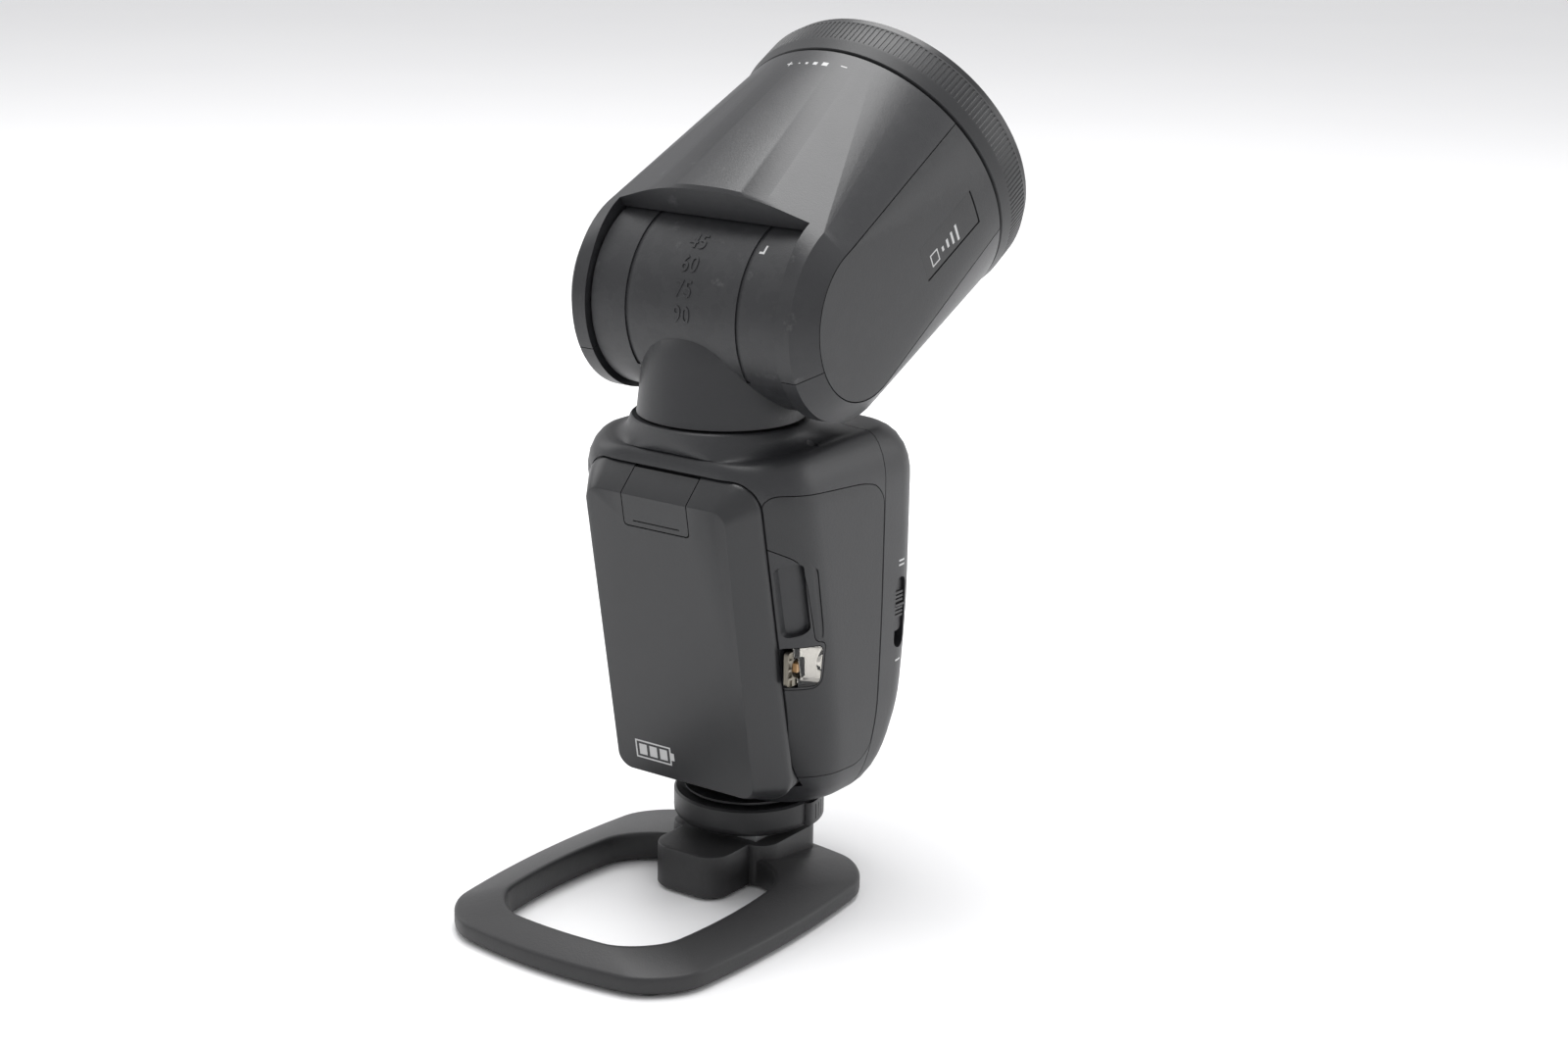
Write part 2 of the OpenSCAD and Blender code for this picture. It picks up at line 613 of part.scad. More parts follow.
// Side outline of a head panel, grown by g
module panel_outline(g) {
  hull() {
    circle(r = panel_half_h + g, $fn = 96);
    translate([0, -panel_end_h - g]) square([barrel_l, 2 * (panel_end_h + g)]);
  }
}
module panel_prism(s, g) {
  rotate([90, 0, 90]) translate([0, 0, s > 0 ? 24 : -40]) linear_extrude(16) panel_outline(g);
}
module panel(s) {
  difference() {
    intersection() { head_form(0); panel_prism(s, 0); }
    head_form(panel_t);
    if (s > 0) button_prism(0.15);
  }
}
module button_prism(g) {
  rotate([90, 0, 90]) translate([0, 0, 20]) linear_extrude(20) rrect(23.4 - g, -6.2 - g, 46.2 + g, 2.4 + g, 0.8);
}
module head_half(s) {
  difference() {
    head_form(0);
    head_room();
    for (k = [-1, 1]) difference() { panel_prism(k, 0.25); head_form(panel_t + 0.1); }
    block([-60, -60, s > 0 ? -80 : 0], [60, 90, s > 0 ? 0 : 80]);
    difference() {
      button_prism(0.2);
      block([-60, -60, -80], [33.1, 90, 80]);
      block([-60, 41.8, -80], [33.9, 90, 80]);
    }
    for (k = [-1, 1]) translate([k * 29.5, -18.5, -60]) cylinder(r = 1.2, h = 57, $fn = 24);
  }
}
module head_top_shell() { color("#3e3f42") in_head() head_half(1); }
module head_bottom_shell() { color("#3a3b3e") in_head() head_half(-1); }
module side_panel_right() { color("#414245") in_head() panel(1); }
module side_panel_left() { color("#414245") in_head() panel(-1); }
module flex_button() {
  color("#414245") in_head() difference() {
    intersection() { head_form(0.05); button_prism(0); }
    block([-60, -60, -80], [33.7, 90, 80]);
    block([-60, 41.5, -80], [34.6, 90, 80]);
  }
}
module front_bezel() {
  color("#2f3033") in_head() on_axis() difference() {
    union() {
      rod_y(42.2, flange_y + 0.4, sleeve_r, $fn = 96);
      rod_y(flange_y, flange_y + 1.6, 36.6, $fn = 96);
    }
    rod_y(40, 90, sleeve_r - sleeve_t, $fn = 96);
    difference() {
      rod_y(flange_y + 0.6, 90, 35.9, $fn = 96);
      rod_y(flange_y, 90, 33.6, $fn = 96);
    }
    on_slot();
  }
}
// Straight slot for the zoom cam pin
module on_slot() { block([-1.6, 42, -40], [1.6, 62, -28]); }
module front_lens() {
  color("#dfe6ea") in_head() on_axis() difference() {
    intersection() {
      rod_y(flange_y - 3.2, flange_y + 1.4, sleeve_r - sleeve_t - 0.1, $fn = 96);
      translate([0, flange_y - 123.6, 0]) sphere(r = 125, $fn = 200);
    }
    rod_y(0, flange_y - 3.3, 40);
  }
}
module magnet_ring() {
  color("#9c9ea1") in_head() on_axis() difference() {
    rod_y(flange_y + 0.62, flange_y + 1.6, 35.8, $fn = 96);
    rod_y(0, 90, 33.7, $fn = 96);
  }
}
module zoom_ring() {
  color("#3b3c3f") in_head() on_axis() rotate([-90, 0, 0]) translate([0, 0, ring_y]) difference() {
    rotate_extrude($fn = 180) polygon([
      [ring_bore_r, 0], [barrel_r, 0], [ring_r, 3], [ring_r, ring_l - 0.4], [ring_r - 0.5, ring_l], [ring_bore_r, ring_l]]);
    translate([0, 0, 1]) cylinder(r = ring_bore_r + 1.6, h = ring_l - 4);
  }
}
module guide_rods() {
  color("#b5b7ba") in_head() on_axis() for (s = [-1, 1]) translate([s * 25.5, 0, 0])
    rod_y(bulkhead_y + 1.25, 38, 1.5, $fn = 32);
}
module carriage_frame() {
  color("#2d2e30") in_head() on_axis() {
    difference() {
      union() {
        rod_y(carriage_y, carriage_y + 2, 16.5);
        block([-28, carriage_y, -3], [28, carriage_y + 2, 3]);
      }
      for (s = [-1, 1]) translate([s * 25.5, 0, 0]) rod_y(0, 60, 1.9, $fn = 32);
      rod_y(0, 90, 5.1);
    }
    difference() {
      rod_y(mouth_y - 3, mouth_y, 31);
      rod_y(0, 90, bowl_r + 0.75);
    }
    for (a = [45 : 90 : 315]) rotate([0, a, 0]) hull() {
      translate([15.4, carriage_y + 1, 0]) cube([1.6, 2, 3], center = true);
      translate([29.9, mouth_y - 1.5, 0]) cube([1.6, 2.6, 3], center = true);
    }
    block([-1.2, mouth_y - 2.6, -33.2], [1.2, mouth_y - 0.6, -30.5]);
  }
}
// Reflector wall at a share of its depth
function bowl_at(t) = 7 + (bowl_r - 7) * sqrt(t);
module reflector() {
  n = 14;
  color("#c6c8cb") in_head() on_axis() translate([0, mouth_y - bowl_d, 0]) rotate([-90, 0, 0]) difference() {
    rotate_extrude($fn = 72) polygon(concat(
      [for (i = [0 : n]) [bowl_at(i / n) + 0.7, i / n * bowl_d]],
      [for (i = [n : -1 : 0]) [bowl_at(i / n), i / n * bowl_d]]));
    for (s = [-1, 1]) translate([s * 16, 0, 5]) rotate([0, 90, 0]) cylinder(r = tube_r + 0.4, h = 14, center = true, $fn = 40);
  }
}
module flash_tube() {
  color("#e3e6e8") in_head() on_axis() translate([0, mouth_y - bowl_d + 5, 0]) rod_x(-21.5, 21.5, tube_r, $fn = 40);
}
module modelling_led() {
  color("#e8d27a") in_head() on_axis() {
    rod_y(carriage_y - 0.6, carriage_y + 4.4, 5);
    block([-2.5, carriage_y + 4.3, -2.5], [2.5, carriage_y + 5, 2.5]);
  }
}
module head_bulkhead() {
  color("#2b2c2e") in_head() difference() {
    union() {
      for (s = [-1, 1]) translate([s * 6, 0, 2.6]) rod_y(bulkhead_y, bulkhead_y + 1.2, 24.8);
      block([-6, bulkhead_y, -22.2], [6, bulkhead_y + 1.2, 27.4]);
    }
    on_axis() rod_y(0, 60, 4);
  }
}
module driver_board() { color("#1f5c3a") in_head() block([-14, 5, 23.6], [14, 22, 24.8]); }
module head_screws() {
  color("#8a8c90") in_head() for (s = [-1, 1]) translate([s * 29.5, -18.5, -12]) cylinder(r = 1.1, h = 8.6, $fn = 24);
}

stand_frame();
stand_feet();
thread_insert();
shoe_plate();
foot_plate();
foot_contacts();
foot_base();
lock_ring();
lock_pin();
body_front_shell();
body_rear_shell();
side_cover_right();
side_cover_left();
status_window();
window_reflector();
window_lamp();
main_board();
capacitor();
display_panel();
display_glass();
body_screws();
usb_socket();
usb_flap();
neck_bush();
battery_case();
battery_cells();
battery_contacts();
battery_latch();
mode_switch();
control_dial();
dial_button();
menu_button_left();
menu_button_right();
drum_neck();
pan_retainer();
pivot_shafts();
head_top_shell();
head_bottom_shell();
side_panel_right();
side_panel_left();
flex_button();
front_bezel();
front_lens();
magnet_ring();
zoom_ring();
guide_rods();
carriage_frame();
reflector();
flash_tube();
modelling_led();
head_bulkhead();
driver_board();
head_screws();
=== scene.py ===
import json
import math
import random

import bmesh
import bpy
from mathutils import Matrix, Vector


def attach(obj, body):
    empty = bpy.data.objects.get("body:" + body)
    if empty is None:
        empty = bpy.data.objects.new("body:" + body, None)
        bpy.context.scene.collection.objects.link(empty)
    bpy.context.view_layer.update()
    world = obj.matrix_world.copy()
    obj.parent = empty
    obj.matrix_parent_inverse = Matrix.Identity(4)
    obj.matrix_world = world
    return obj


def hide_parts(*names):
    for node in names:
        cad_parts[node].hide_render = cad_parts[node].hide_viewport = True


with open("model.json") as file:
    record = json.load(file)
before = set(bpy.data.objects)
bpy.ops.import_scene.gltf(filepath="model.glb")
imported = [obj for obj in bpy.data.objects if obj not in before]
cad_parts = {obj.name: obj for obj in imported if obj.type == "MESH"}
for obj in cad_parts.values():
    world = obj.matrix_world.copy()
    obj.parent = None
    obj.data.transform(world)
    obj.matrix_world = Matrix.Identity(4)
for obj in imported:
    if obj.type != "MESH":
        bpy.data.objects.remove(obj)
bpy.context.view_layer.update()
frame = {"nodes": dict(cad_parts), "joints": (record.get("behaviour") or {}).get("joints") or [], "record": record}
nodes = frame["nodes"]
random.seed(7)

MM = 0.001

# ---------------------------------------------------------------- camera
CAMERA_PLACE = Vector((358.5, -500.9, 262.7)) * MM
CAMERA_YAW, CAMERA_PITCH, CAMERA_ROLL = math.radians(34.86), math.radians(16.03), math.radians(1.06)
CAMERA_LENS = 62.65


def make_camera():
    """The camera at its viewing angle, level turn first, then dip and roll."""
    forward = Vector((-math.sin(CAMERA_YAW) * math.cos(CAMERA_PITCH),
                      math.cos(CAMERA_YAW) * math.cos(CAMERA_PITCH), -math.sin(CAMERA_PITCH)))
    level_right = Vector((math.cos(CAMERA_YAW), math.sin(CAMERA_YAW), 0))
    level_up = level_right.cross(forward)
    right = math.cos(CAMERA_ROLL) * level_right + math.sin(CAMERA_ROLL) * level_up
    up = -math.sin(CAMERA_ROLL) * level_right + math.cos(CAMERA_ROLL) * level_up
    bpy.ops.object.camera_add()
    camera = bpy.context.object
    turn = Matrix((right, up, -forward)).transposed()
    camera.matrix_world = Matrix.Translation(CAMERA_PLACE) @ turn.to_4x4()
    camera.data.lens = CAMERA_LENS
    camera.data.sensor_width = 36
    camera.data.clip_start, camera.data.clip_end = 0.01, 20
    bpy.context.scene.camera = camera
    bpy.context.scene.view_settings.view_transform = "Standard"


# ---------------------------------------------------------------- room and light
def make_room():
    """A pale floor, soft area lights and a pale sky."""
    select_none()
    bpy.ops.mesh.primitive_plane_add(size=12, location=(0, 0, -0.0002))
    floor = named("studio_floor")
    floor.data.materials.append(FINISH["floor"])
    world = bpy.context.scene.world or bpy.data.worlds.new("studio")
    bpy.context.scene.world = world
    world.use_nodes = True
    sky = world.node_tree.nodes["Background"]
    sky.inputs["Color"].default_value = (0.985, 0.985, 1.0, 1)
    sky.inputs["Strength"].default_value = 0.74
    for name, place, aim, size, power in (
            ("overhead", (-0.15, 0.25, 1.35), (0, 0, 0.1), 0.9, 17),
            ("window", (-1.25, -0.15, 0.75), (0, 0, 0.12), 0.8, 3),
            ("far_side", (0.9, 0.9, 0.5), (0, 0, 0.12), 0.6, 2.5)):
        bpy.ops.object.light_add(type="AREA", location=place)
        lamp = named("light_" + name)
        lamp.data.size = size
        lamp.data.energy = power
        lamp.rotation_euler = (Vector(aim) - Vector(place)).to_track_quat("-Z", "Y").to_euler()


# ---------------------------------------------------------------- hand tools
def select_none():
    bpy.ops.object.select_all(action="DESELECT")


def only(piece):
    select_none()
    piece.select_set(True)
    bpy.context.view_layer.objects.active = piece


def named(name):
    bpy.context.object.name = name
    bpy.context.object.data.name = name
    return bpy.context.object


def tidy_skin(piece):
    """Merges doubled points and turns every face outwards."""
    only(piece)
    bpy.ops.object.mode_set(mode="EDIT")
    bpy.ops.mesh.select_all(action="SELECT")
    bpy.ops.mesh.remove_doubles(threshold=1e-6)
    bpy.ops.mesh.normals_make_consistent(inside=False)
    bpy.ops.object.mode_set(mode="OBJECT")


def stand_up(piece, place):
    """Moves the mesh itself, so that the object stays at the origin."""
    piece.data.transform(place)
    if place.determinant() < 0:
        tidy_skin(piece)
    return piece


def skin(name, rings, hoop=False):
    """Draws a loop of points, then extrudes it from ring to ring; a hoop closes on its first ring."""
    select_none()
    bpy.ops.mesh.primitive_circle_add(vertices=len(rings[0]), radius=0.01,
                                      fill_type="NOTHING" if hoop else "NGON")
    piece = named(name)
    bpy.ops.object.mode_set(mode="EDIT")
    mesh = bmesh.from_edit_mesh(piece.data)
    turn = mesh.verts.layers.int.new("turn")
    for at, vert in enumerate(mesh.verts):
        vert[turn] = at
        vert.co = Vector(rings[0][at]) * MM
    bmesh.update_edit_mesh(piece.data)
    for ring in rings[1:] + (rings[:1] if hoop else []):
        bpy.ops.mesh.extrude_region()
        mesh = bmesh.from_edit_mesh(piece.data)
        turn = mesh.verts.layers.int["turn"]
        for vert in mesh.verts:
            if vert.select:
                vert.co = Vector(ring[vert[turn]]) * MM
        bmesh.update_edit_mesh(piece.data)
    bpy.ops.object.mode_set(mode="OBJECT")
    piece.data.attributes.remove(piece.data.attributes["turn"])
    tidy_skin(piece)
    return piece


def lathe(name, profile, place=Matrix(), steps=128):
    """Spins a closed outline of (radius, height) points about its axis."""
    select_none()
    bpy.ops.mesh.primitive_circle_add(vertices=len(profile), radius=0.01, fill_type="NOTHING")
    piece = named(name)
    bpy.ops.object.mode_set(mode="EDIT")
    mesh = bmesh.from_edit_mesh(piece.data)
    for vert, (radius, height) in zip(mesh.verts, profile):
        vert.co = (radius * MM, 0, height * MM)
    bmesh.update_edit_mesh(piece.data)
    bpy.ops.mesh.select_all(action="SELECT")
    bpy.ops.mesh.spin(steps=steps, angle=math.tau, center=(0, 0, 0), axis=(0, 0, 1))
    bpy.ops.mesh.select_all(action="SELECT")
    bpy.ops.mesh.remove_doubles(threshold=1e-6)
    bpy.ops.mesh.dissolve_degenerate(threshold=1e-7)
    bpy.ops.object.mode_set(mode="OBJECT")
    tidy_skin(piece)
    return stand_up(piece, place)


def prism(name, outline, low, high, side="z"):
    """A straight bar through an outline; side "x" reads the outline as (y, z), "y" as (x, z)."""
    turned = {"x": lambda u, v, w: (w, u, v),
              "y": lambda u, v, w: (u, w, v),
              "z": lambda u, v, w: (u, v, w)}[side]
    return skin(name, [[turned(u, v, w) for u, v in outline] for w in (low, high)])


def box(name, low, high):
    (x0, y0, z0), (x1, y1, z1) = low, high
    return prism(name, ((x0, y0), (x1, y0), (x1, y1), (x0, y1)), z0, z1)


def join_in(piece, other, how="DIFFERENCE", keep=False):
    """Cuts, joins or keeps what two skins share, then clears the other one away."""
    only(piece)
    made = piece.modifiers.new("cut", "BOOLEAN")
    made.object, made.operation, made.solver = other, how, "MANIFOLD"
    bpy.ops.object.modifier_apply(modifier="cut")
    if not keep:
        bpy.data.objects.remove(other)
    return piece


def twin(piece, name):
    made = piece.copy()
    made.data = piece.data.copy()
    made.name = made.data.name = name
    bpy.context.collection.objects.link(made)
    return made


OVAL_POINTS = 256


def hull_of(name, circles, ovals=()):
    """The tight skin over circles: (centre, radius, axis turn, points), and over fuller upright
    ovals: (centre, half width, half height, fullness)."""
    select_none()
    bpy.ops.mesh.primitive_circle_add(vertices=8, radius=0.001)
    piece = named(name)
    bpy.ops.object.mode_set(mode="EDIT")
    bpy.ops.mesh.select_all(action="SELECT")
    bpy.ops.mesh.delete(type="VERT")
    for centre, radius, turn, points in circles:
        bpy.ops.mesh.primitive_circle_add(vertices=points, radius=radius * MM,
                                          location=Vector(centre) * MM, rotation=turn)
    for centre, half_x, half_z, fullness in ovals:
        bpy.ops.mesh.primitive_circle_add(vertices=OVAL_POINTS, radius=MM,
                                          location=Vector(centre) * MM, rotation=(QUARTER, 0, 0))
        mesh = bmesh.from_edit_mesh(piece.data)
        for vert in mesh.verts:
            if vert.select:
                across, up = vert.co.x / MM - centre[0], vert.co.z / MM - centre[2]
                wide, tall = (abs(reach) ** (1 / (fullness - 1)) for reach in (across * half_x, up * half_z))
                scale = (wide ** fullness + tall ** fullness) ** (-1 / fullness)
                vert.co.x = (centre[0] + math.copysign(half_x * scale * wide, across)) * MM
                vert.co.z = (centre[2] + math.copysign(half_z * scale * tall, up)) * MM
        bmesh.update_edit_mesh(piece.data)
    bpy.ops.mesh.select_all(action="SELECT")
    bpy.ops.mesh.convex_hull()
    bpy.ops.object.mode_set(mode="OBJECT")
    tidy_skin(piece)
    return piece


def finish_piece(piece, body, finish, stands_for=(), angle=32):
    """Smooth shading, finish and body of a piece that is done; hides the parts it stands for."""
    only(piece)
    bpy.ops.object.shade_smooth_by_angle(angle=math.radians(angle))
    piece.data.materials.clear()
    piece.data.materials.append(FINISH[finish])
    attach(piece, body)
    if stands_for:
        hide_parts(*stands_for)
    return piece


# ---------------------------------------------------------------- outlines
def rounded(x0, x1, y0, y1, front, back=None, steps=12, sides=6):
    """Points round a rectangle; its corners at y0 and at y1 have their own radii."""
    back = front if back is None else back
    ring = []
    for cx, cy, r, start in ((x1 - back, y1 - back, back, 0), (x0 + back, y1 - back, back, 90),
                             (x0 + front, y0 + front, front, 180), (x1 - front, y0 + front, front, 270)):
        for step in range(steps + 1):
            angle = math.radians(start + 90 * step / steps)
            ring.append((cx + r * math.cos(angle), cy + r * math.sin(angle)))
    full = []
    for at, point in enumerate(ring):
        full.append(point)
        if at % (steps + 1) == steps:
            after = ring[(at + 1) % len(ring)]
            full += [tuple(p + (q - p) * k / sides for p, q in zip(point, after)) for k in range(1, sides)]
    return full


def softened(points, radius, steps=6):
    """An outline with each corner rounded, as far as its sides allow."""
    ring = []
    for at, corner in enumerate(points):
        corner = Vector(corner)
        before, after = Vector(points[at - 1]) - corner, Vector(points[(at + 1) % len(points)]) - corner
        reach = min(radius, before.length / 2.1, after.length / 2.1)
        start, end = corner + before.normalized() * reach, corner + after.normalized() * reach
        for step in range(steps + 1):
            t = step / steps
            ring.append(tuple(start * (1 - t) ** 2 + corner * 2 * t * (1 - t) + end * t ** 2))
    return ring


def grown(outline, gap):
    """An outline moved outwards, or inwards where the gap is below zero."""
    area = sum(p[0] * q[1] - q[0] * p[1] for p, q in zip(outline, outline[1:] + outline[:1]))
    out = []
    for at, point in enumerate(outline):
        along = Vector(outline[(at + 1) % len(outline)]) - Vector(outline[at - 1])
        normal = Vector((along.y, -along.x)).normalized() * (1 if area > 0 else -1)
        out.append((point[0] + normal.x * gap, point[1] + normal.y * gap))
    return out


def lifted(outline, z):
    return [(x, y, z) for x, y in outline]


# ---------------------------------------------------------------- shared frames, read from the joints
JOINT = {joint["name"]: joint for joint in frame["joints"]}
PIVOT = Vector(JOINT["head_tilt"]["pos_m"])
BEAM = Vector(JOINT["zoom_slide"]["axis"])
OUT = Vector(JOINT["battery_slide"]["axis"])
QUARTER = math.radians(90)
HEAD = Matrix.Translation(PIVOT) @ Matrix.Rotation(math.atan2(BEAM.z, BEAM.y), 4, "X")
LEAN = Matrix.Translation(Vector((0, -23.4, 47)) * MM) @ Matrix.Rotation(math.atan2(-OUT.z, -OUT.y), 4, "X")
FORWARD = Matrix.Rotation(-QUARTER, 4, "X")
SIDEWAYS = Matrix.Rotation(QUARTER, 4, "Y")
AXIS_DROP = 5.2
OPTIC = HEAD @ Matrix.Translation(Vector((0, 0, -AXIS_DROP)) * MM) @ FORWARD


# ---------------------------------------------------------------- finishes
class Wire:
    """A shader socket that takes part in plain arithmetic."""

    def __init__(self, tree, socket):
        self.tree, self.socket = tree, socket

    def _math(self, how, other=None, swap=False):
        node = self.tree.nodes.new("ShaderNodeMath")
        node.operation = how
        order = (other, self) if swap else (self, other)
        for slot, value in zip(node.inputs, order):
            if isinstance(value, Wire):
                self.tree.links.new(value.socket, slot)
            elif value is not None:
                slot.default_value = value
        return Wire(self.tree, node.outputs[0])

    def __add__(self, other):
        return self._math("ADD", other)

    def __sub__(self, other):
        return self._math("SUBTRACT", other)

    def __rsub__(self, other):
        return self._math("SUBTRACT", other, True)

    def __mul__(self, other):
        return self._math("MULTIPLY", other)

    def __gt__(self, other):
        return self._math("GREATER_THAN", other)

    __radd__, __rmul__ = __add__, __mul__

    def between(self, low, high):
        return (self > low) * (self * -1.0 > -high)

    def clamp(self):
        wire = self._math("ADD", 0.0)
        wire.socket.node.use_clamp = True
        return wire


COLOUR_SOCKET = {"A": 6, "B": 7}


class Finish:
    """One material, with the few calls that its recipe needs."""

    def __init__(self, name, **surface):
        self.material = bpy.data.materials.new(name)
        self.material.use_nodes = True
        self.tree = self.material.node_tree
        self.shader = self.tree.nodes["Principled BSDF"]
        for socket, value in surface.items():
            self.shader.inputs[socket.replace("_", " ")].default_value = value
        self.place = self.node("ShaderNodeTexCoord", out="Object")

    def node(self, kind, settings=None, out=0, **values):
        made = self.tree.nodes.new(kind)
        for key, value in (settings or {}).items():
            if key == "stops":
                ramp = made.color_ramp
                while len(ramp.elements) < len(value):
                    ramp.elements.new(0.5)
                for element, (where, tone) in zip(ramp.elements, value):
                    element.position, element.color = where, tone
            else:
                setattr(made, key, value)
        for key, value in values.items():
            slot = made.inputs[COLOUR_SOCKET.get(key, key.replace("_", " "))]
            if isinstance(value, Wire):
                self.tree.links.new(value.socket, slot)
            else:
                slot.default_value = value
        return Wire(self.tree, made.outputs[out])

    def noise(self, scale, detail=4.0, rough=0.55):
        return self.node("ShaderNodeTexNoise", Vector=self.place, Scale=scale, Detail=detail, Roughness=rough)

    def feed(self, socket, wire):
        self.tree.links.new(wire.socket, self.shader.inputs[socket])

    def bump(self, height, depth, strength=1.0):
        self.feed("Normal", self.node("ShaderNodeBump", Height=height, Distance=depth, Strength=strength))

    def inked(self, place, marks):
        """One inside any of the printed bars: (x0, x1, y0, y1, z0, z1) in mm, seen from a place."""
        where, turn = place.to_translation(), place.to_euler()
        local = self.node("ShaderNodeMapping", {"vector_type": "TEXTURE"},
                          Vector=self.place, Location=where, Rotation=turn)
        axes = [self.node("ShaderNodeSeparateXYZ", out=axis, Vector=local) for axis in range(3)]
        total = None
        for bar in marks:
            inside = None
            for axis, wire in enumerate(axes):
                low, high = bar[2 * axis:2 * axis + 2]
                if low is None:
                    continue
                here = wire.between(low * MM, high * MM)
                inside = here if inside is None else inside * here
            total = inside if total is None else total + inside
        return total.clamp()

    def over(self, base, share, colour):
        """A colour laid over a base, as far as the share says."""
        return self.node("ShaderNodeMix", {"data_type": "RGBA"}, out=2, Factor=share, A=base, B=(*colour, 1))

    def tint(self, share, low, high):
        return self.over((*low, 1), share, high)


SCUFF_GREY, MARK_GREY = (0.16, 0.16, 0.16), (0.5, 0.5, 0.5)


def grained_plastic(name, tone, rough=0.5, grain=2600, depth=0.00006, spread=0.006,
                    place=None, marks=(), scuffs=0.0):
    """Moulded plastic with a fine spark-eroded grain, slight patches, a painted highlight on convex edges
    and, where asked, light scuffs and printed marks."""
    made = Finish(name, IOR=1.5)
    fine = made.noise(grain, 3.0, 0.6)
    patch = made.noise(38, 5.0, 0.6)
    # Convex edges, found by pointiness and broken up by noise, are painted paler: a painted highlight along the edges.
    edge = made.node("ShaderNodeNewGeometry", out="Pointiness")
    painted_edge_highlight = ((edge - 0.52) * 9.0).clamp() * (made.noise(240, 4.0) > 0.5)
    low = tuple(max(0.0, c - spread * 0.5) for c in tone)
    high = tuple(c + spread for c in tone)
    base = made.tint((patch * 0.8 + fine * 0.2 + painted_edge_highlight * 0.35).clamp(), low, high)
    if scuffs:
        rubbed = ((made.noise(130, 6.0, 0.7) - 0.62) * 7.0).clamp() * (made.noise(22, 2.0) > 0.52) * scuffs
        base = made.over(base, rubbed, SCUFF_GREY)
    if marks:
        base = made.over(base, made.inked(place, marks), MARK_GREY)
    made.feed("Base Color", base)
    made.feed("Roughness", (rough - 0.09 + patch * 0.1 + fine * 0.08).clamp())
    made.bump(fine + made.noise(grain * 0.35, 2.0) * 0.5, depth, 0.55)
    return made.material


def plain_floor(name):
    made = Finish(name, Roughness=0.65)
    made.feed("Base Color", made.tint(made.noise(3, 2.0), (0.9, 0.9, 0.905), (0.94, 0.94, 0.94)))
    return made.material


def brushed_metal(name, tone, rough=0.3):
    made = Finish(name, Metallic=1.0)
    streak = made.node("ShaderNodeTexNoise", Vector=made.node(
        "ShaderNodeMapping", Vector=made.place, Scale=(900.0, 60.0, 900.0)), Scale=3.0, Detail=3.0)
    made.feed("Base Color", made.tint(streak, tuple(c * 0.85 for c in tone), tone))
    made.feed("Roughness", (rough + streak * 0.18).clamp())
    made.bump(streak, 0.00002, 0.5)
    return made.material


def clear_sheet(name, tone=(0.96, 0.97, 0.98)):
    made = Finish(name, IOR=1.49, Transmission_Weight=1.0)
    made.feed("Base Color", made.tint(made.noise(60, 2.0), tuple(c * 0.97 for c in tone), tone))
    made.feed("Roughness", (made.noise(500, 3.0) * 0.06 + 0.01).clamp())
    return made.material


def glossy(name, tone, rough=0.15, grain=900):
    made = Finish(name, IOR=1.5)
    fine = made.noise(grain, 3.0)
    made.feed("Base Color", made.tint(fine, tuple(c * 0.85 for c in tone), tone))
    made.feed("Roughness", (rough + fine * 0.1).clamp())
    made.bump(fine, 0.00003, 0.3)
    return made.material


ROUND_DRUM = Matrix.Translation(PIVOT)


def bars(share_x, share_y, *spans):
    """Bars that share their first two spans, or fill in the other ones: None stands for the own span."""
    out = []
    for span in spans:
        own = list(span)
        row = []
        for shared in (share_x, share_y):
            row += shared if shared else (own.pop(0), own.pop(0))
        out.append((*row, *own))
    return tuple(out)


# Printed signs, as bars (x0, x1, y0, y1, z0, z1) in mm; each is seen from the frame of its piece.
FACE = (-9, -3)
BATTERY_SIGN = bars(None, FACE, (-14, -3.6, -15, -14.6), (-14, -3.6, -10.6, -10.2), (-14, -13.6, -15, -10.2),
                    (-4, -3.6, -15, -10.2), (-3.6, -2.7, -13.6, -11.6), (-12.9, -10.7, -14, -11.2),
                    (-9.9, -7.7, -14, -11.2), (-6.9, -4.7, -14, -11.2))
ANY = (None, None)
LAMP_SIGN = bars(ANY, None, (26.2, 26.55, -4.6, -1.4), (29.05, 29.4, -4.6, -1.4), (26.2, 29.4, -4.6, -4.25),
                 (26.2, 29.4, -1.75, -1.4), (30.9, 31.7, -3.6, -2.4), (33.0, 33.8, -4.1, -1.9),
                 (35.1, 35.9, -4.6, -1.4), (37.2, 38.0, -5.1, -0.9))
CROWN = (10, 60)
BEAM_SIGNS = tuple((*sign, *CROWN) for sign in (
    (-7.6, -6.0, 49.05, 49.35), (-6.95, -6.65, 48.4, 50.0), (6.8, 8.4, 50.15, 50.45), (-4.4, -3.9, 49.2, 49.6),
    (-2.4, -1.7, 49.1, 49.8), (-0.3, 0.8, 49.1, 50.1), (2.1, 3.6, 49.2, 50.4)))
SWITCH_SIGNS = tuple((28, 40, 16.8, 19.2, low, low + 0.45) for low in (76.7, 77.8, 53.1))
DRUM_SIGN = ((17.5, 18.0, -30, 0, 15.3, 16.9), (16.6, 17.5, -30, 0, 15.3, 15.7))

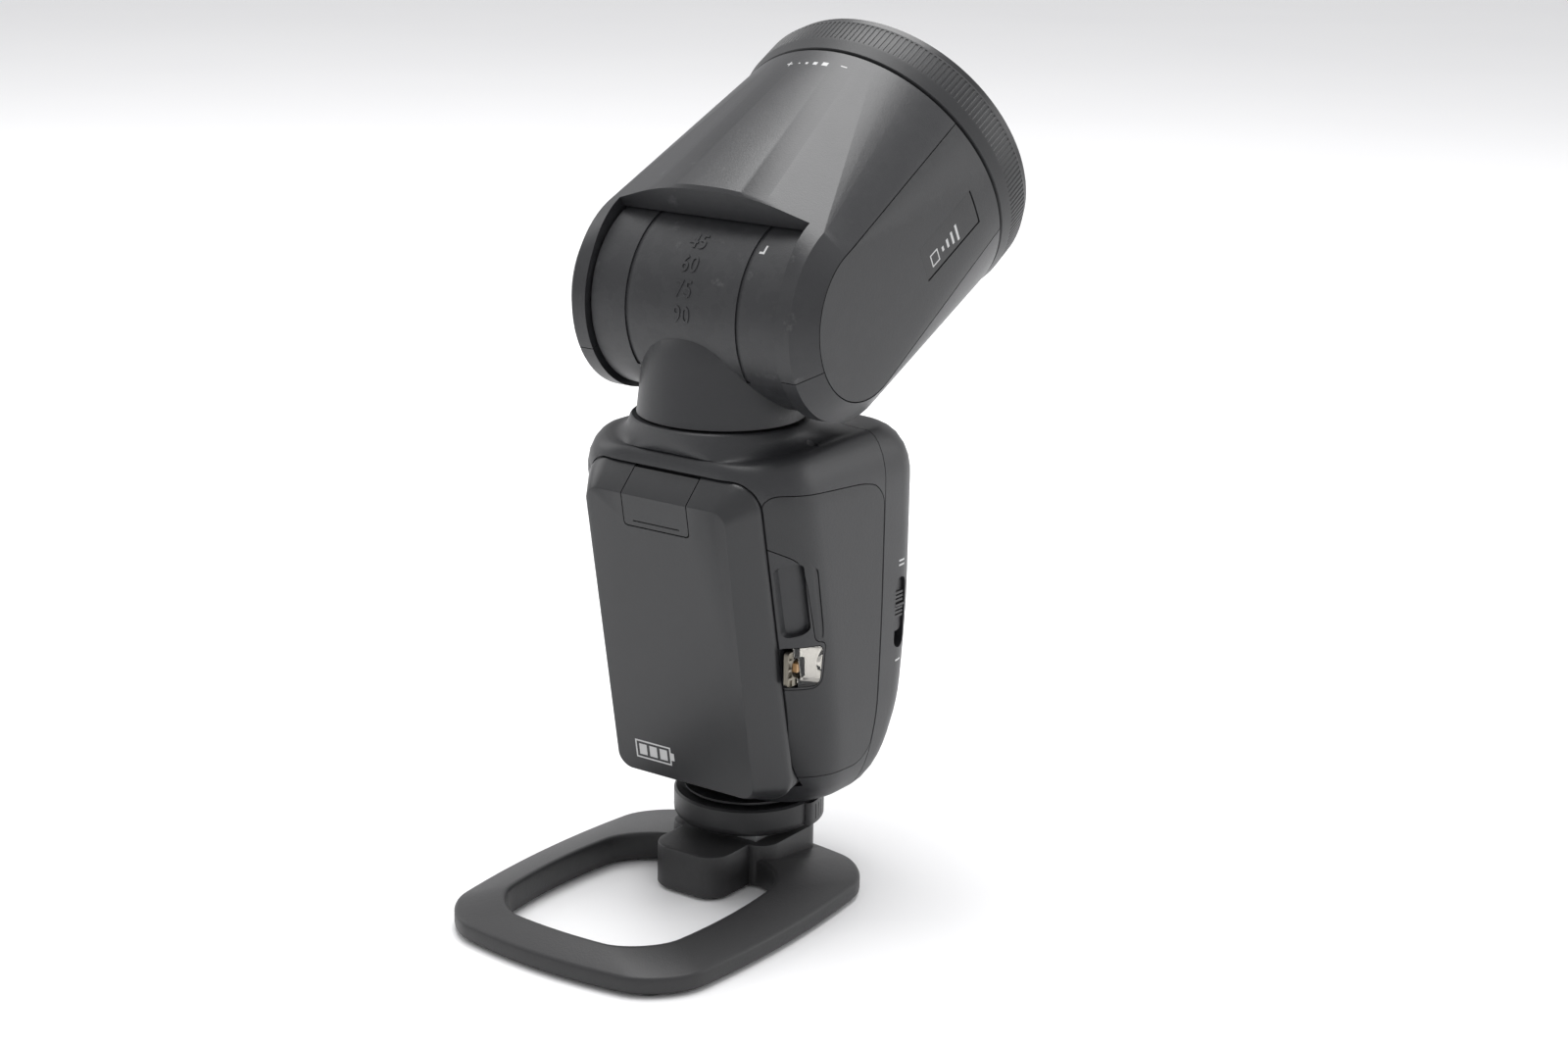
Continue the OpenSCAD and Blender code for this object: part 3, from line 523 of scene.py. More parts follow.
FINISH = {
    "floor": plain_floor("studio_floor"),
    "shell": grained_plastic("charcoal_shell", (0.018, 0.0185, 0.0205), 0.42),
    "cover": grained_plastic("charcoal_cover", (0.0155, 0.016, 0.0175), 0.48),
    "stand": grained_plastic("stand_plastic", (0.018, 0.0178, 0.0188), 0.46, 2200, 0.00008),
    "rubber": grained_plastic("black_rubber", (0.014, 0.014, 0.015), 0.62),
    "brass": brushed_metal("turned_brass", (0.78, 0.6, 0.3), 0.25),
    "steel": brushed_metal("brushed_steel", (0.6, 0.61, 0.62)),
    "gold": brushed_metal("gold_plate", (0.9, 0.72, 0.36), 0.18),
    "clear": clear_sheet("clear_cover"),
    "chrome": brushed_metal("vapour_chrome", (0.56, 0.55, 0.52), 0.22),
    "foil": brushed_metal("window_foil", (0.26, 0.24, 0.2), 0.3),
    "window": clear_sheet("window_clear", (0.5, 0.48, 0.44)),
    "smoked": clear_sheet("smoked_glass", (0.16, 0.165, 0.17)),
    "amber": glossy("amber_lamp", (0.5, 0.3, 0.14)),
    "board": glossy("board_green", (0.02, 0.14, 0.06), 0.3),
    "cap": glossy("capacitor_sleeve", (0.02, 0.02, 0.024), 0.3),
    "screen": glossy("screen_black", (0.012, 0.013, 0.016), 0.08),
    "cell": glossy("cell_sleeve", (0.06, 0.16, 0.3), 0.3),
    "gloss": grained_plastic("satin_black", (0.012, 0.012, 0.0135), 0.34, 3000, 0.00003),
    "led": glossy("led_phosphor", (0.85, 0.66, 0.2), 0.4),
    "tube": clear_sheet("flash_glass"),
    "alu": brushed_metal("bead_blasted_alloy", (0.62, 0.63, 0.64), 0.35),
    "battery": grained_plastic("battery_shell", (0.0165, 0.017, 0.0185), 0.34, 3000, 0.00004,
                               place=LEAN, marks=BATTERY_SIGN),
    "battery_plain": grained_plastic("battery_tab", (0.0165, 0.017, 0.0185), 0.34, 3000, 0.00004),
    "shell_by_switch": grained_plastic("shell_with_switch_marks", (0.018, 0.0185, 0.0205), 0.42,
                                       place=Matrix(), marks=SWITCH_SIGNS),
    "shell_scuffed": grained_plastic("scuffed_shell", (0.018, 0.0185, 0.0205), 0.42,
                                     scuffs=0.3, place=ROUND_DRUM, marks=DRUM_SIGN),
    "shell_marked": grained_plastic("shell_with_marks", (0.018, 0.0185, 0.0205), 0.40,
                                    scuffs=0.3, place=HEAD, marks=BEAM_SIGNS),
    "panel": grained_plastic("panel_plastic", (0.0135, 0.0138, 0.015), 0.48, place=HEAD, marks=LAMP_SIGN),
    "grip": grained_plastic("grip_plastic", (0.019, 0.0195, 0.021), 0.46, 2600, 0.00004),
    "ring_marked": grained_plastic("ring_with_mark", (0.013, 0.0132, 0.0145), 0.42),
}


# ---------------------------------------------------------------- body
BODY_TOP, BODY_LOW, BODY_BACK, BODY_HALF = 110.1, 21.0, 27.5, 31.0
COLLAR_LOW, COLLAR_TOP = 111.1, 114.35
PART_Y = 10.0
FACE_BACK = 2.6


def face_at(z):
    """How far forward the battery's face is at a height."""
    return -23.4 - (z - 47) * math.tan(math.radians(12))


def shrink(z):
    """Share by which the body's sides have drawn in at a height, and whether that is its top."""
    if z < 47:
        return 1 - math.sqrt(max(0.0, 1 - ((47 - z) / 26) ** 2)), False
    if z > 98:
        return 1 - math.sqrt(max(0.0, 1 - ((z - 98) / 12.1) ** 2)), True
    return 0.0, True


def body_level(z, inset, draw=0.0):
    share, top = shrink(z)
    half = BODY_HALF - (6.0 if top else 10) * share - draw
    front = face_at(z) + FACE_BACK + (3.4 if top else 6.4) * share + draw
    draw += 2.4 * (max(0.0, 72 - z) / 36) ** 1.6 if z > 36 else 2.4
    half -= draw * 0.35
    back = BODY_BACK - (7.0 if top else 7.6) * share - draw
    ring = rounded(-half + inset, half - inset, front + inset, back - inset,
                   min(15, half - 4) - inset, 10 - inset, 14, 8)
    return [(x, y, z) for x, y in ring]


def body_skin(name, inset):
    """The body's outside, or the same form drawn in by a wall."""
    count = 34
    levels = [BODY_LOW + (BODY_TOP - BODY_LOW) * k / count for k in range(count + 1)]
    levels = sorted(levels + [21.15, 21.5, 22.2, 109.7, 108.9, 109.95])
    squeeze = (BODY_TOP - BODY_LOW - 2 * inset) / (BODY_TOP - BODY_LOW)
    rings = []
    for z in levels:
        ring = body_level(z, inset)
        at = BODY_LOW + inset + (z - BODY_LOW) * squeeze
        rings.append([(x, y, at - crest_dip(y, z)) for x, y, _ in ring])
    if inset == 0:
        crest = rings[-1]
        for share, rise in ((0.2, -0.25), (0.45, 0.05), (0.7, 0.8), (0.88, 1.8), (1, 2.9)):
            ring = []
            for (x, y, z), (cx, cy) in zip(crest, collar_ring(20.9)):
                height = z + (COLLAR_LOW - z) * share ** 2 + rise * share
                ring.append((x + (cx - x) * share, y + (cy - y) * share, height))
            rings.append(ring)
        rings += [lifted(collar_ring(20.75), COLLAR_TOP - 0.2), lifted(collar_ring(20.5), COLLAR_TOP),
                  lifted(collar_ring(19.8), COLLAR_TOP)]
    return skin(name, rings)


def crest_dip(y, z):
    """The crest runs lower across the front."""
    ahead = min(1.0, max(0.0, (-y - 18) / 14))
    near = min(1.0, max(0.0, (z - 98) / 12))
    return 1.5 * ahead * ahead * (3 - 2 * ahead) * near


def collar_ring(radius):
    return rounded(-radius, radius, -12 - radius, -12 + radius, radius, radius, 14, 8)


COVER = [(-29.5, 102.5), (1, 100), (6.5, 98.6), (PART_Y - 0.4, 95), (PART_Y - 0.4, 33), (6, 30), (-14, 31),
         (-18.5, 35), (-21.5, 46), (-23.4, 54.6), (-12.6, 54.6), (-12.6, 65.9), (-15.5, 66.4), (-19.5, 82),
         (-21.5, 86.5), (-26, 89), (-29.3, 91)]
WINDOW = (-22.6, -13.4, 55.4, 65.2)


def cover_bar(name, side, gap):
    outline = grown(softened(COVER, 3.2), gap)
    low, high = (8, 44) if side > 0 else (-44, -8)
    return prism(name, outline, low, high, "x")


SLAB_HALF, SLAB_LOW, SLAB_TOP = 24.0, -23.0, 58.5


def slab_ring(inset, y, corner):
    outline = rounded(-SLAB_HALF + inset, SLAB_HALF - inset, SLAB_LOW + inset, SLAB_TOP - inset, corner, corner, 10, 4)
    return [(x, y, z) for x, z in outline]


def bay_bar():
    """Room for the battery."""
    bay = skin("bay", [slab_ring(-0.35, -9, 7.3), slab_ring(-0.35, 5.3, 7.3)])
    stand_up(bay, LEAN)
    block = stand_up(box("bay_block", (-23.1, 4, -21.3), (23.1, 19.3, 44.3)), LEAN)
    return join_in(bay, block, "UNION")


def finger_room(side, floor):
    """The finger rest beside the battery, as deep as the floor form allows."""
    outline = rounded(-2.3, 2.3, -9, 9, 1.6, 1.6, 6, 2)
    room = prism("finger_room", [(x + side * 27.2, z + 29) for x, z in outline], -9, 14, "y")
    return join_in(stand_up(room, LEAN), floor, keep=True)


def window_bar(gap, low=18, high=40):
    y0, y1, z0, z1 = WINDOW
    return prism("window_bar", rounded(y0 - gap, y1 + gap, z0 - gap, z1 + gap, 1.6, 1.6, 6, 1), low, high, "x")


def make_body():
    outer, inner, under_cover = body_skin("outer", 0), body_skin("inner", 2.0), body_skin("under_cover", 1.0)
    rest_floor = body_skin("rest_floor", 1.5)
    bay = bay_bar()
    front = join_in(twin(outer, "body_front_skin"), box("behind", (-60, PART_Y - 0.12, 0), (60, 80, 150)))
    hollow = join_in(twin(inner, "hollow"), stand_up(box("bay_wall", (-27, -8, -27), (27, 7.2, 64)), LEAN))
    join_in(front, hollow)
    join_in(front, bay, keep=True)
    for side in (1, -1):
        pocket = join_in(cover_bar("pocket", side, 0.22), under_cover, keep=True)
        join_in(front, pocket)
        join_in(front, finger_room(side, rest_floor))
    join_in(front, window_bar(0.15, 24))
    join_in(front, lathe("neck_room", ((0, 60), (14.15, 60), (14.15, 130), (0, 130)), NECK))
    join_in(front, lathe("foot_room", ((0, 14), (8, 14), (8, 26), (0, 26))))
    join_in(front, lathe("dimple", ((0, 108.6), (0.9, 108.7), (1.3, 109.4), (1.5, 116), (0, 116)),
                         Matrix.Translation(Vector((23.6, -9.5, 0)) * MM), 32))
    finish_piece(front, "flash", "shell", ("body_front_shell",))

    rear = join_in(twin(outer, "body_rear_skin"), box("ahead", (-60, -90, 0), (60, PART_Y + 0.12, 150)))
    join_in(rear, inner, keep=True)
    join_in(rear, prism("screen_room", rounded(-18.5, 18.5, 64.5, 96.5, 2, 2, 6, 1), BODY_BACK - 5, 40, "y"))
    join_in(rear, lathe("dial_room", ((0, -6), (12.4, -6), (12.4, 6), (0, 6)), dial_place(), 96))
    for side in (1, -1):
        join_in(rear, lathe("menu_room", ((0, -6), (2.85, -6), (2.85, 6), (0, 6)), menu_place(side), 48))
    join_in(rear, prism("switch_room", rounded(15.7, 20.3, 56.45, 73.95, 2.25, 2.25, 8, 1), 26, 44, "x"))
    join_in(rear, box("flap_room", (-44, 14, 55.8), (-26, 19.4, 68.2)))
    join_in(rear, lathe("neck_room", ((0, 60), (14.15, 60), (14.15, 130), (0, 130)), NECK))
    finish_piece(rear, "flash", "shell_by_switch", ("body_rear_shell",))

    for side, word in ((1, "right"), (-1, "left")):
        cover = join_in(cover_bar(f"side_cover_{word}_skin", side, 0), outer, "INTERSECT", keep=True)
        join_in(cover, under_cover, keep=True)
        join_in(cover, bay, keep=True)
        join_in(cover, finger_room(side, rest_floor))
        groove_in_cover(cover, side)
        finish_piece(cover, "flash", "cover", (f"side_cover_{word}",))
    for leftover in (outer, inner, under_cover, rest_floor, bay):
        bpy.data.objects.remove(leftover)


def groove_in_cover(cover, side):
    """The fine second line that follows the finger room."""
    path = softened([(-19.9, 84.5), (-16.6, 84.5), (-13.6, 69), (-13.6, 66.5)], 2.4)
    outline = path + [(y - 0.35, z - 0.35) for y, z in reversed(path)]
    join_in(cover, prism("fine_line", outline, *((30.4, 44) if side > 0 else (-44, -30.4)), "x"))


NECK = Matrix.Translation(Vector((0, -12, 0)) * MM)


def dial_place():
    return Matrix.Translation(Vector((0, BODY_BACK, 47)) * MM) @ FORWARD


def menu_place(side):
    return Matrix.Translation(Vector((side * 17, BODY_BACK, 60.2)) * MM) @ FORWARD


def make_window():
    """Clear cover with rounded edges over a bright pressed reflector and its lamp."""
    cover = window_bar(0)
    cover.name = "status_window_clear"
    join_in(cover, body_skin("outer", 0), "INTERSECT")
    join_in(cover, box("behind_window", (-60, -60, 0), (26.7, 60, 150)))
    join_in(cover, lathe("lamp_room", ((0, 0), (2.7, 0), (2.7, 7.3), (0, 7.3)),
                         Matrix.Translation(Vector((20, -18, 60.3)) * MM) @ SIDEWAYS, 32))
    finish_piece(cover, "flash", "window", ("status_window",))
    plate = prism("window_reflector_plate", rounded(-21.6, -14.4, 56.2, 64.4, 0.8, 0.8, 5, 1), 25.3, 26.6, "x")
    join_in(plate, lathe("bowl", ((0, 5.9), (1.4, 5.9), (2.6, 6.7), (2.6, 9), (0, 9)),
                         Matrix.Translation(Vector((20, -18, 60.3)) * MM) @ SIDEWAYS, 48))
    for row in range(4):
        for column in range(3):
            y, z = -20.8 + column * 2.6, 57.0 + row * 2.1
            join_in(plate, stand_up(box("facet", (-0.75, -0.75, -0.4), (0.75, 0.75, 0.4)),
                                    Matrix.Translation(Vector((26.62, y, z)) * MM)
                                    @ Matrix.Rotation(math.radians(14 * (row - column)), 4, "Z")
                                    @ Matrix.Rotation(QUARTER, 4, "Y")))
    finish_piece(plate, "flash", "foil", ("window_reflector",), 20)


# ---------------------------------------------------------------- battery
def swelled(y, z):
    """The slab's front swells forward, more at its lower end; its back stays."""
    front = max(0.0, 1 - y / 4.9)
    return y - (2.8 + 2.2 * (SLAB_TOP - z) / (SLAB_TOP - SLAB_LOW)) * front


def slab_skin(name):
    rings = [slab_ring(*level) for level in ((4.5, 0.0, 3.6), (4.2, 0.12, 3.8), (0.45, 3.75, 6.6), (0.12, 4.15, 6.9),
                                             (0, 4.45, 7), (0, 4.9, 7), (0.1, 5.0, 6.9))]
    return skin(name, [[(x, swelled(y, z), z) for x, y, z in ring] for ring in rings])


def make_battery():
    case = slab_skin("battery_case_skin")
    block = prism("block", rounded(-22.8, 22.8, -21, 44, 2, 2, 6, 1), 4.5, 19, "y")
    join_in(case, block, "UNION")
    join_in(case, box("cell_room", (-21.2, 3.8, -19), (21.2, 17.6, 42)))
    around_tab = softened([(-9.25, 70), (-9.25, 46.2), (9.25, 46.2), (9.25, 70)], 1.2)
    join_in(case, prism("tab_room", around_tab, -7, 4.45, "y"))
    stand_up(case, LEAN)
    finish_piece(case, "battery", "battery", ("battery_case",))

    tab_bar = prism("tab_bar", softened([(-9, 70), (-9, 46.5), (9, 46.5), (9, 70)], 1.0), -6, 3.1, "y")
    tab = join_in(slab_skin("battery_release_tab"), tab_bar, "INTERSECT")
    join_in(tab, box("nail_line", (-6.5, -6, 47.6), (6.5, -2.75, 47.9)))
    stand_up(tab, LEAN)
    finish_piece(tab, "battery_latch", "battery_plain", ("battery_latch",))


# ---------------------------------------------------------------- controls
def make_controls():
    """Knurled dial with its centre button, two menu buttons and the mode switch."""
    dial = lathe("control_dial_knob", ((6.7, -3.4), (10.5, -3.4), (10.5, -1.8), (11.9, -1.8), (11.9, 1.1),
                                       (11.4, 1.6), (7.6, 1.6), (7.2, 1.3), (6.7, 1.3)), Matrix(), 144)
    notch = lathe("notch", ((0, -1.4), (0.28, -1.4), (0.28, 3), (0, 3)), Matrix(), 8)
    teeth = 48
    for tooth in range(teeth):
        angle = math.tau * tooth / teeth
        place = Matrix.Translation(Vector((12.0 * math.cos(angle), 12.0 * math.sin(angle), 0)) * MM)
        join_in(dial, stand_up(twin(notch, "notch_copy"), place))
    bpy.data.objects.remove(notch)
    stand_up(dial, dial_place())
    finish_piece(dial, "control_dial", "gloss", ("control_dial",))
    button = lathe("dial_button_cap", ((0, -3.2), (6.5, -3.2), (6.5, 0.6), (6.1, 1.0), (5.2, 0.86), (0, 0.55)),
                   dial_place(), 96)
    finish_piece(button, "dial_button", "cover", ("dial_button",))
    for side, word in ((-1, "left"), (1, "right")):
        cap = lathe(f"menu_button_{word}_cap", ((0, -3), (2.6, -3), (2.6, 0.35), (2.3, 0.65), (1.2, 0.7), (0, 0.5)),
                    menu_place(side), 48)
        finish_piece(cap, f"menu_{word}", "cover", (f"menu_button_{word}",))

    knob_face = BODY_HALF - 1.2
    knob = prism("mode_switch_knob", rounded(15.9, 20.1, 60.3, 73.7, 1.9, 1.9, 8, 1), knob_face - 3, knob_face, "x")
    for rib in range(-3, 4):
        middle = 67 + rib * 0.95
        tall = 1.15 if rib == 0 else 0.72
        join_in(knob, box("rib", (knob_face - 0.3, 16.2, middle - 0.28), (knob_face + tall - 0.2, 19.8, middle + 0.28)),
                "UNION")
    finish_piece(knob, "mode_switch", "gloss", ("mode_switch",))


# ---------------------------------------------------------------- neck and drum
DRUM_R, DRUM_HALF = 22.1, 25.9
DRUM = Matrix.Translation(PIVOT) @ SIDEWAYS


def round_ring(radius, ahead):
    """A circle about the swivel axis, moved ahead of it."""
    turns = [math.tau * k / 128 for k in range(128)]
    return [(radius * math.cos(turn), -12 + ahead + radius * math.sin(turn)) for turn in turns]


def make_neck():
    drum = lathe("neck_and_drum", ((0, -DRUM_HALF), (DRUM_R - 0.5, -DRUM_HALF), (DRUM_R, -DRUM_HALF + 0.5),
                                   (DRUM_R, DRUM_HALF - 0.5), (DRUM_R - 0.5, DRUM_HALF), (0, DRUM_HALF)), DRUM, 192)
    rings = []
    for step in range(11):
        share = step / 10
        radius = 19.5 - 4 * (max(0.0, share - 0.7) / 0.3) ** 2
        z = 114.9 + 22.6 * share
        rings.append(lifted(round_ring(radius, 4 * share), z))
    rings.insert(0, lifted(round_ring(19.2, 0), 114.7))
    join_in(drum, skin("column", rings), "UNION")
    join_in(drum, lathe("spigot", ((0, 102.6), (12, 102.6), (12, 116), (0, 116)), NECK, 96), "UNION")
    for side in (-1, 1):
        band = lathe("groove", ((DRUM_R - 0.4, side * 15.3 - 0.55), (DRUM_R + 2, side * 15.3 - 0.55),
                                (DRUM_R + 2, side * 15.3 + 0.55), (DRUM_R - 0.4, side * 15.3 + 0.55)), DRUM, 192)
        join_in(band, box("stretch", (-40, -40, 125.5), (40, -5.6, 170)), "INTERSECT")
        join_in(drum, band)
        inner_end = 14 if side > 0 else -DRUM_HALF - 1
        outer_end = DRUM_HALF + 1 if side > 0 else -14
        join_in(drum, lathe("shaft_room", ((0, inner_end), (5.06, inner_end), (5.06, outer_end), (0, outer_end)), DRUM, 64))
    join_in(drum, lathe("wire_room", ((0, 101), (7, 101), (7, 126), (0, 126)), NECK, 64))
    finish_piece(drum, "neck", "shell_scuffed", ("drum_neck",))
    for word, degrees in (("45", 45.7), ("60", 30.7), ("75", 15.7), ("90", 0.7)):
        make_numeral(word, math.radians(degrees))


def make_numeral(word, angle):
    """Raised angle figures, bent round the drum."""
    select_none()
    bpy.ops.object.text_add()
    figure = bpy.context.object
    figure.data.body = word
    figure.data.align_x, figure.data.align_y = "CENTER", "CENTER"
    figure.data.size = 5.4 * MM
    figure.data.offset = 0.06 * MM
    figure.data.extrude = 0.22 * MM
    figure.data.resolution_u = 6
    figure.data.space_character = 1.08
    bpy.ops.object.convert(target="MESH")
    figure = named("angle_figure_" + word)
    for vert in figure.data.vertices:
        radius = DRUM_R * MM + vert.co.z - 0.02 * MM
        turn = angle + vert.co.y / (DRUM_R * MM)
        vert.co = (vert.co.x * 0.82, -radius * math.cos(turn), radius * math.sin(turn))
    tidy_skin(figure)
    stand_up(figure, Matrix.Translation(PIVOT))
    finish_piece(figure, "neck", "shell", angle=40)


# ---------------------------------------------------------------- head
ARM_HALF, ARM_R, PANEL_R, PANEL_END, BARREL_L, BARREL_R = 34.5, 23.4, 17.9, 14.5, 54.6, 36.8


def head_skin(name, inset):
    """The head's outside: round at the lens end, flat-sided where it grips the drum."""
    along, across = (QUARTER, 0, 0), (0, QUARTER, 0)
    circles = [((0, y, -AXIS_DROP), BARREL_R - inset, along, 256) for y in (54.0, BARREL_L)]
    ovals = [((0, y, 2.6), ARM_HALF - 0.3 - inset, 28 - inset, 2.35) for y in (2.4, 5)]
    for side in (-1, 1):
        circles += [((side * (ARM_HALF - inset), 0, 0), PANEL_R + 0.3 - inset, across, 160),
                    ((side * (ARM_HALF - 4.4 - inset / 2), 0, 0), ARM_R - inset, across, 160)]
    return hull_of(name, circles, ovals)


def panel_outline(gap):
    """The side panel: round about the tilt axis, narrower at the zoom ring."""
    lean = math.atan2(PANEL_R - PANEL_END, BARREL_L)
    ring = []
    for step in range(61):
        angle = QUARTER - lean + (math.pi + 2 * lean) * step / 60
        ring.append(((PANEL_R + gap) * math.cos(angle), (PANEL_R + gap) * math.sin(angle)))
    return [(BARREL_L + 4, PANEL_END - 0.3 + gap)] + ring + [(BARREL_L + 4, -PANEL_END + 0.3 - gap)]


def panel_bar(side, gap):
    low, high = (24, 44) if side > 0 else (-44, -24)
    return prism("panel_bar", panel_outline(gap), low, high, "x")


def button_bar(gap):
    return prism("button_bar", rounded(23.4 - gap, 46.2 + gap, -6.2 - gap, 2.4 + gap, 0.8, 0.8, 5, 1), 20, 44, "x")


def slit_bar():
    """The L-shaped line beside the quick release."""
    path = [(46.05, 2.4), (46.55, 2.4), (46.6, -6.55), (23.4, -6.55), (23.4, -6.1), (46.05, -6.1)]
    return prism("slit", path, 34.2, 44, "x")


def head_room():
    room = lathe("drum_room", ((0, -26.3), (22.5, -26.3), (22.5, 26.3), (0, 26.3)), SIDEWAYS, 160)
    join_in(room, box("front_room", (-26.3, -60, 0), (26.3, 1.5, 60)), "UNION")
    join_in(room, box("under_room", (-26.3, -60, -60), (26.3, 16, 1)), "UNION")
    join_in(room, lathe("shaft_room", ((0, -33), (5.06, -33), (5.06, 33), (0, 33)), SIDEWAYS, 64), "UNION")
    tunnel = lathe("tunnel", ((0, 14), (21, 28), (33.52, 42.1), (33.52, 92), (0, 92)),
                   Matrix.Translation(Vector((0, 0, -AXIS_DROP)) * MM) @ FORWARD, 128)
    join_in(room, tunnel, "UNION")
    chamber = hull_of("chamber", [((side * 6, y, 2.6), 25, (QUARTER, 0, 0), 96) for side in (-1, 1) for y in (4, 36)])
    return join_in(room, chamber, "UNION")


def make_head():
    outer, under_panel = head_skin("head_outer", 0), head_skin("head_under", 1.25)
    room = head_room()
    for side in (1, -1):
        join_in(outer, join_in(panel_bar(side, 0.28), under_panel, keep=True), keep=False)
    whole = join_in(outer, room)
    button_room = button_bar(0.25)
    join_in(button_room, box("rest", (-60, -60, -80), (33.1, 90, 80)))
    join_in(whole, button_room)
    top = join_in(twin(whole, "head_top_skin"), box("lower_half", (-60, -60, -90), (60, 90, 0.11)))
    bottom = join_in(whole, box("upper_half", (-60, -60, -0.11), (60, 90, 90)))
    bottom.name = bottom.data.name = "head_bottom_skin"
    for half, node, look in ((top, "head_top_shell", "shell_marked"), (bottom, "head_bottom_shell", "shell")):
        stand_up(half, HEAD)
        finish_piece(half, "head", look, (node,), 24)

    plain = head_skin("head_plain", 0)
    for side, word in ((1, "right"), (-1, "left")):
        panel = join_in(panel_bar(side, 0), plain, "INTERSECT", keep=True)
        join_in(panel, under_panel, keep=True)
        join_in(panel, box("ring_side", (-60, BARREL_L - 0.05, -60), (60, 90, 60)))
        if side > 0:
            join_in(panel, button_bar(0.03))
            join_in(panel, slit_bar())
        panel.name = panel.data.name = f"side_panel_{word}_skin"
        stand_up(panel, HEAD)
        finish_piece(panel, "head", "cover", (f"side_panel_{word}",), angle=24)
    button = join_in(button_bar(0), plain, "INTERSECT", keep=True)
    join_in(button, box("button_back", (-60, -60, -80), (33.75, 90, 80)))
    join_in(button, box("button_step", (-60, 41.5, -80), (34.7, 90, 80)))
    join_in(button, slit_bar())
    button.name = button.data.name = "flex_button_pad"
    stand_up(button, HEAD)
    finish_piece(button, "flex_button", "panel", ("flex_button",), 24)
    for leftover in (under_panel, plain):
        bpy.data.objects.remove(leftover)


def make_zoom_ring():
    """Smooth chamfer, then a band of fine straight ribs between two plain rims."""
    low, high = BARREL_L + 0.9, BARREL_L + 11.9
    profile = ((33.6, low), (36.3, low), (36.8, low + 0.3), (37.35, low + 3.0), (37.45, low + 3.5), (37.45, high - 0.9),
               (37.3, high - 0.4), (36.9, high), (33.6, high))
    ribs = 180
    ring = lathe("zoom_ring_grip", profile, Matrix(), ribs * 2)
    only(ring)
    bpy.ops.object.mode_set(mode="EDIT")
    bpy.ops.mesh.select_all(action="DESELECT")
    bpy.ops.mesh.select_mode(type="FACE")
    mesh = bmesh.from_edit_mesh(ring.data)
    for face in mesh.faces:
        middle = face.calc_center_median()
        spread = math.hypot(middle.x, middle.y)
        turn = math.atan2(middle.y, middle.x) / math.tau * ribs * 2
        in_band = (low + 3.55) * MM < middle.z < (high - 1.0) * MM and spread > 37.3 * MM
        if in_band and math.floor(turn) % 2 == 0:
            face.select = True
    bmesh.update_edit_mesh(ring.data)
    bpy.ops.mesh.inset(thickness=0.14 * MM, depth=-0.17 * MM, use_individual=True)
    bpy.ops.object.mode_set(mode="OBJECT")
    stand_up(ring, OPTIC)
    finish_piece(ring, "zoom_ring", "grip", ("zoom_ring",), 40)


# ---------------------------------------------------------------- foot
def make_foot():
    top, low = 19.9, 12.9
    ring = lathe("lock_ring_grip", ((11.05, low), (16.0, low), (16.9, low + 0.5), (17.4, low + 1.3), (17.5, low + 2.2),
                                    (17.5, top - 0.5), (17.0, top), (11.05, top)), Matrix(), 160)
    lever = prism("lever", rounded(4, 18.7, -0.5, 13, 1.4, 1.4, 6, 1), low + 0.9, top - 0.5)
    join_in(lever, lathe("lever_round", ((0, 0), (18.75, 0), (18.75, 40), (0, 40)), Matrix(), 160), "INTERSECT")
    join_in(lever, lathe("lever_room", ((0, 0), (17, 0), (17, 40), (0, 40)), Matrix(), 160))
    join_in(ring, lever, "UNION")
    for cut in range(5):
        angle = math.radians(8 + cut * 5)
        nick = box("nick", (18.45, -0.16, low + 1.8), (20, 0.16, top - 1.4))
        join_in(ring, stand_up(nick, Matrix.Rotation(angle, 4, "Z")))
    finish_piece(ring, "lock_ring", "ring_marked", ("lock_ring",))
    base = lathe("foot_base_column", ((0, low), (10.95, low), (10.95, 20.2), (14.6, 20.2), (15, 20.5), (15, 21), (0, 21)),
                 Matrix(), 128)
    join_in(base, lathe("pin_room", ((0, 5), (1.28, 5), (1.28, 17.0), (0, 17.0)),
                        Matrix.Translation(Vector((0, -5, 0)) * MM), 32))
    finish_piece(base, "flash", "gloss", ("foot_base",))


# ---------------------------------------------------------------- stand
def stand_outline(half_x, bulge_x, half_y, bulge_y, corner, offset=0.0, centre=0.0):
    """A rectangle whose sides swell, with round corners."""
    ring = []
    for x, y in rounded(-half_x - offset, half_x + offset, -half_y - offset, half_y + offset,
                        corner + offset, corner + offset, 14, 16):
        u, v = x / (half_x + offset), y / (half_y + offset)
        ring.append((x + u * abs(u) * bulge_x * (1 - v * v), y + v * abs(v) * bulge_y * (1 - u * u) + centre))
    return ring


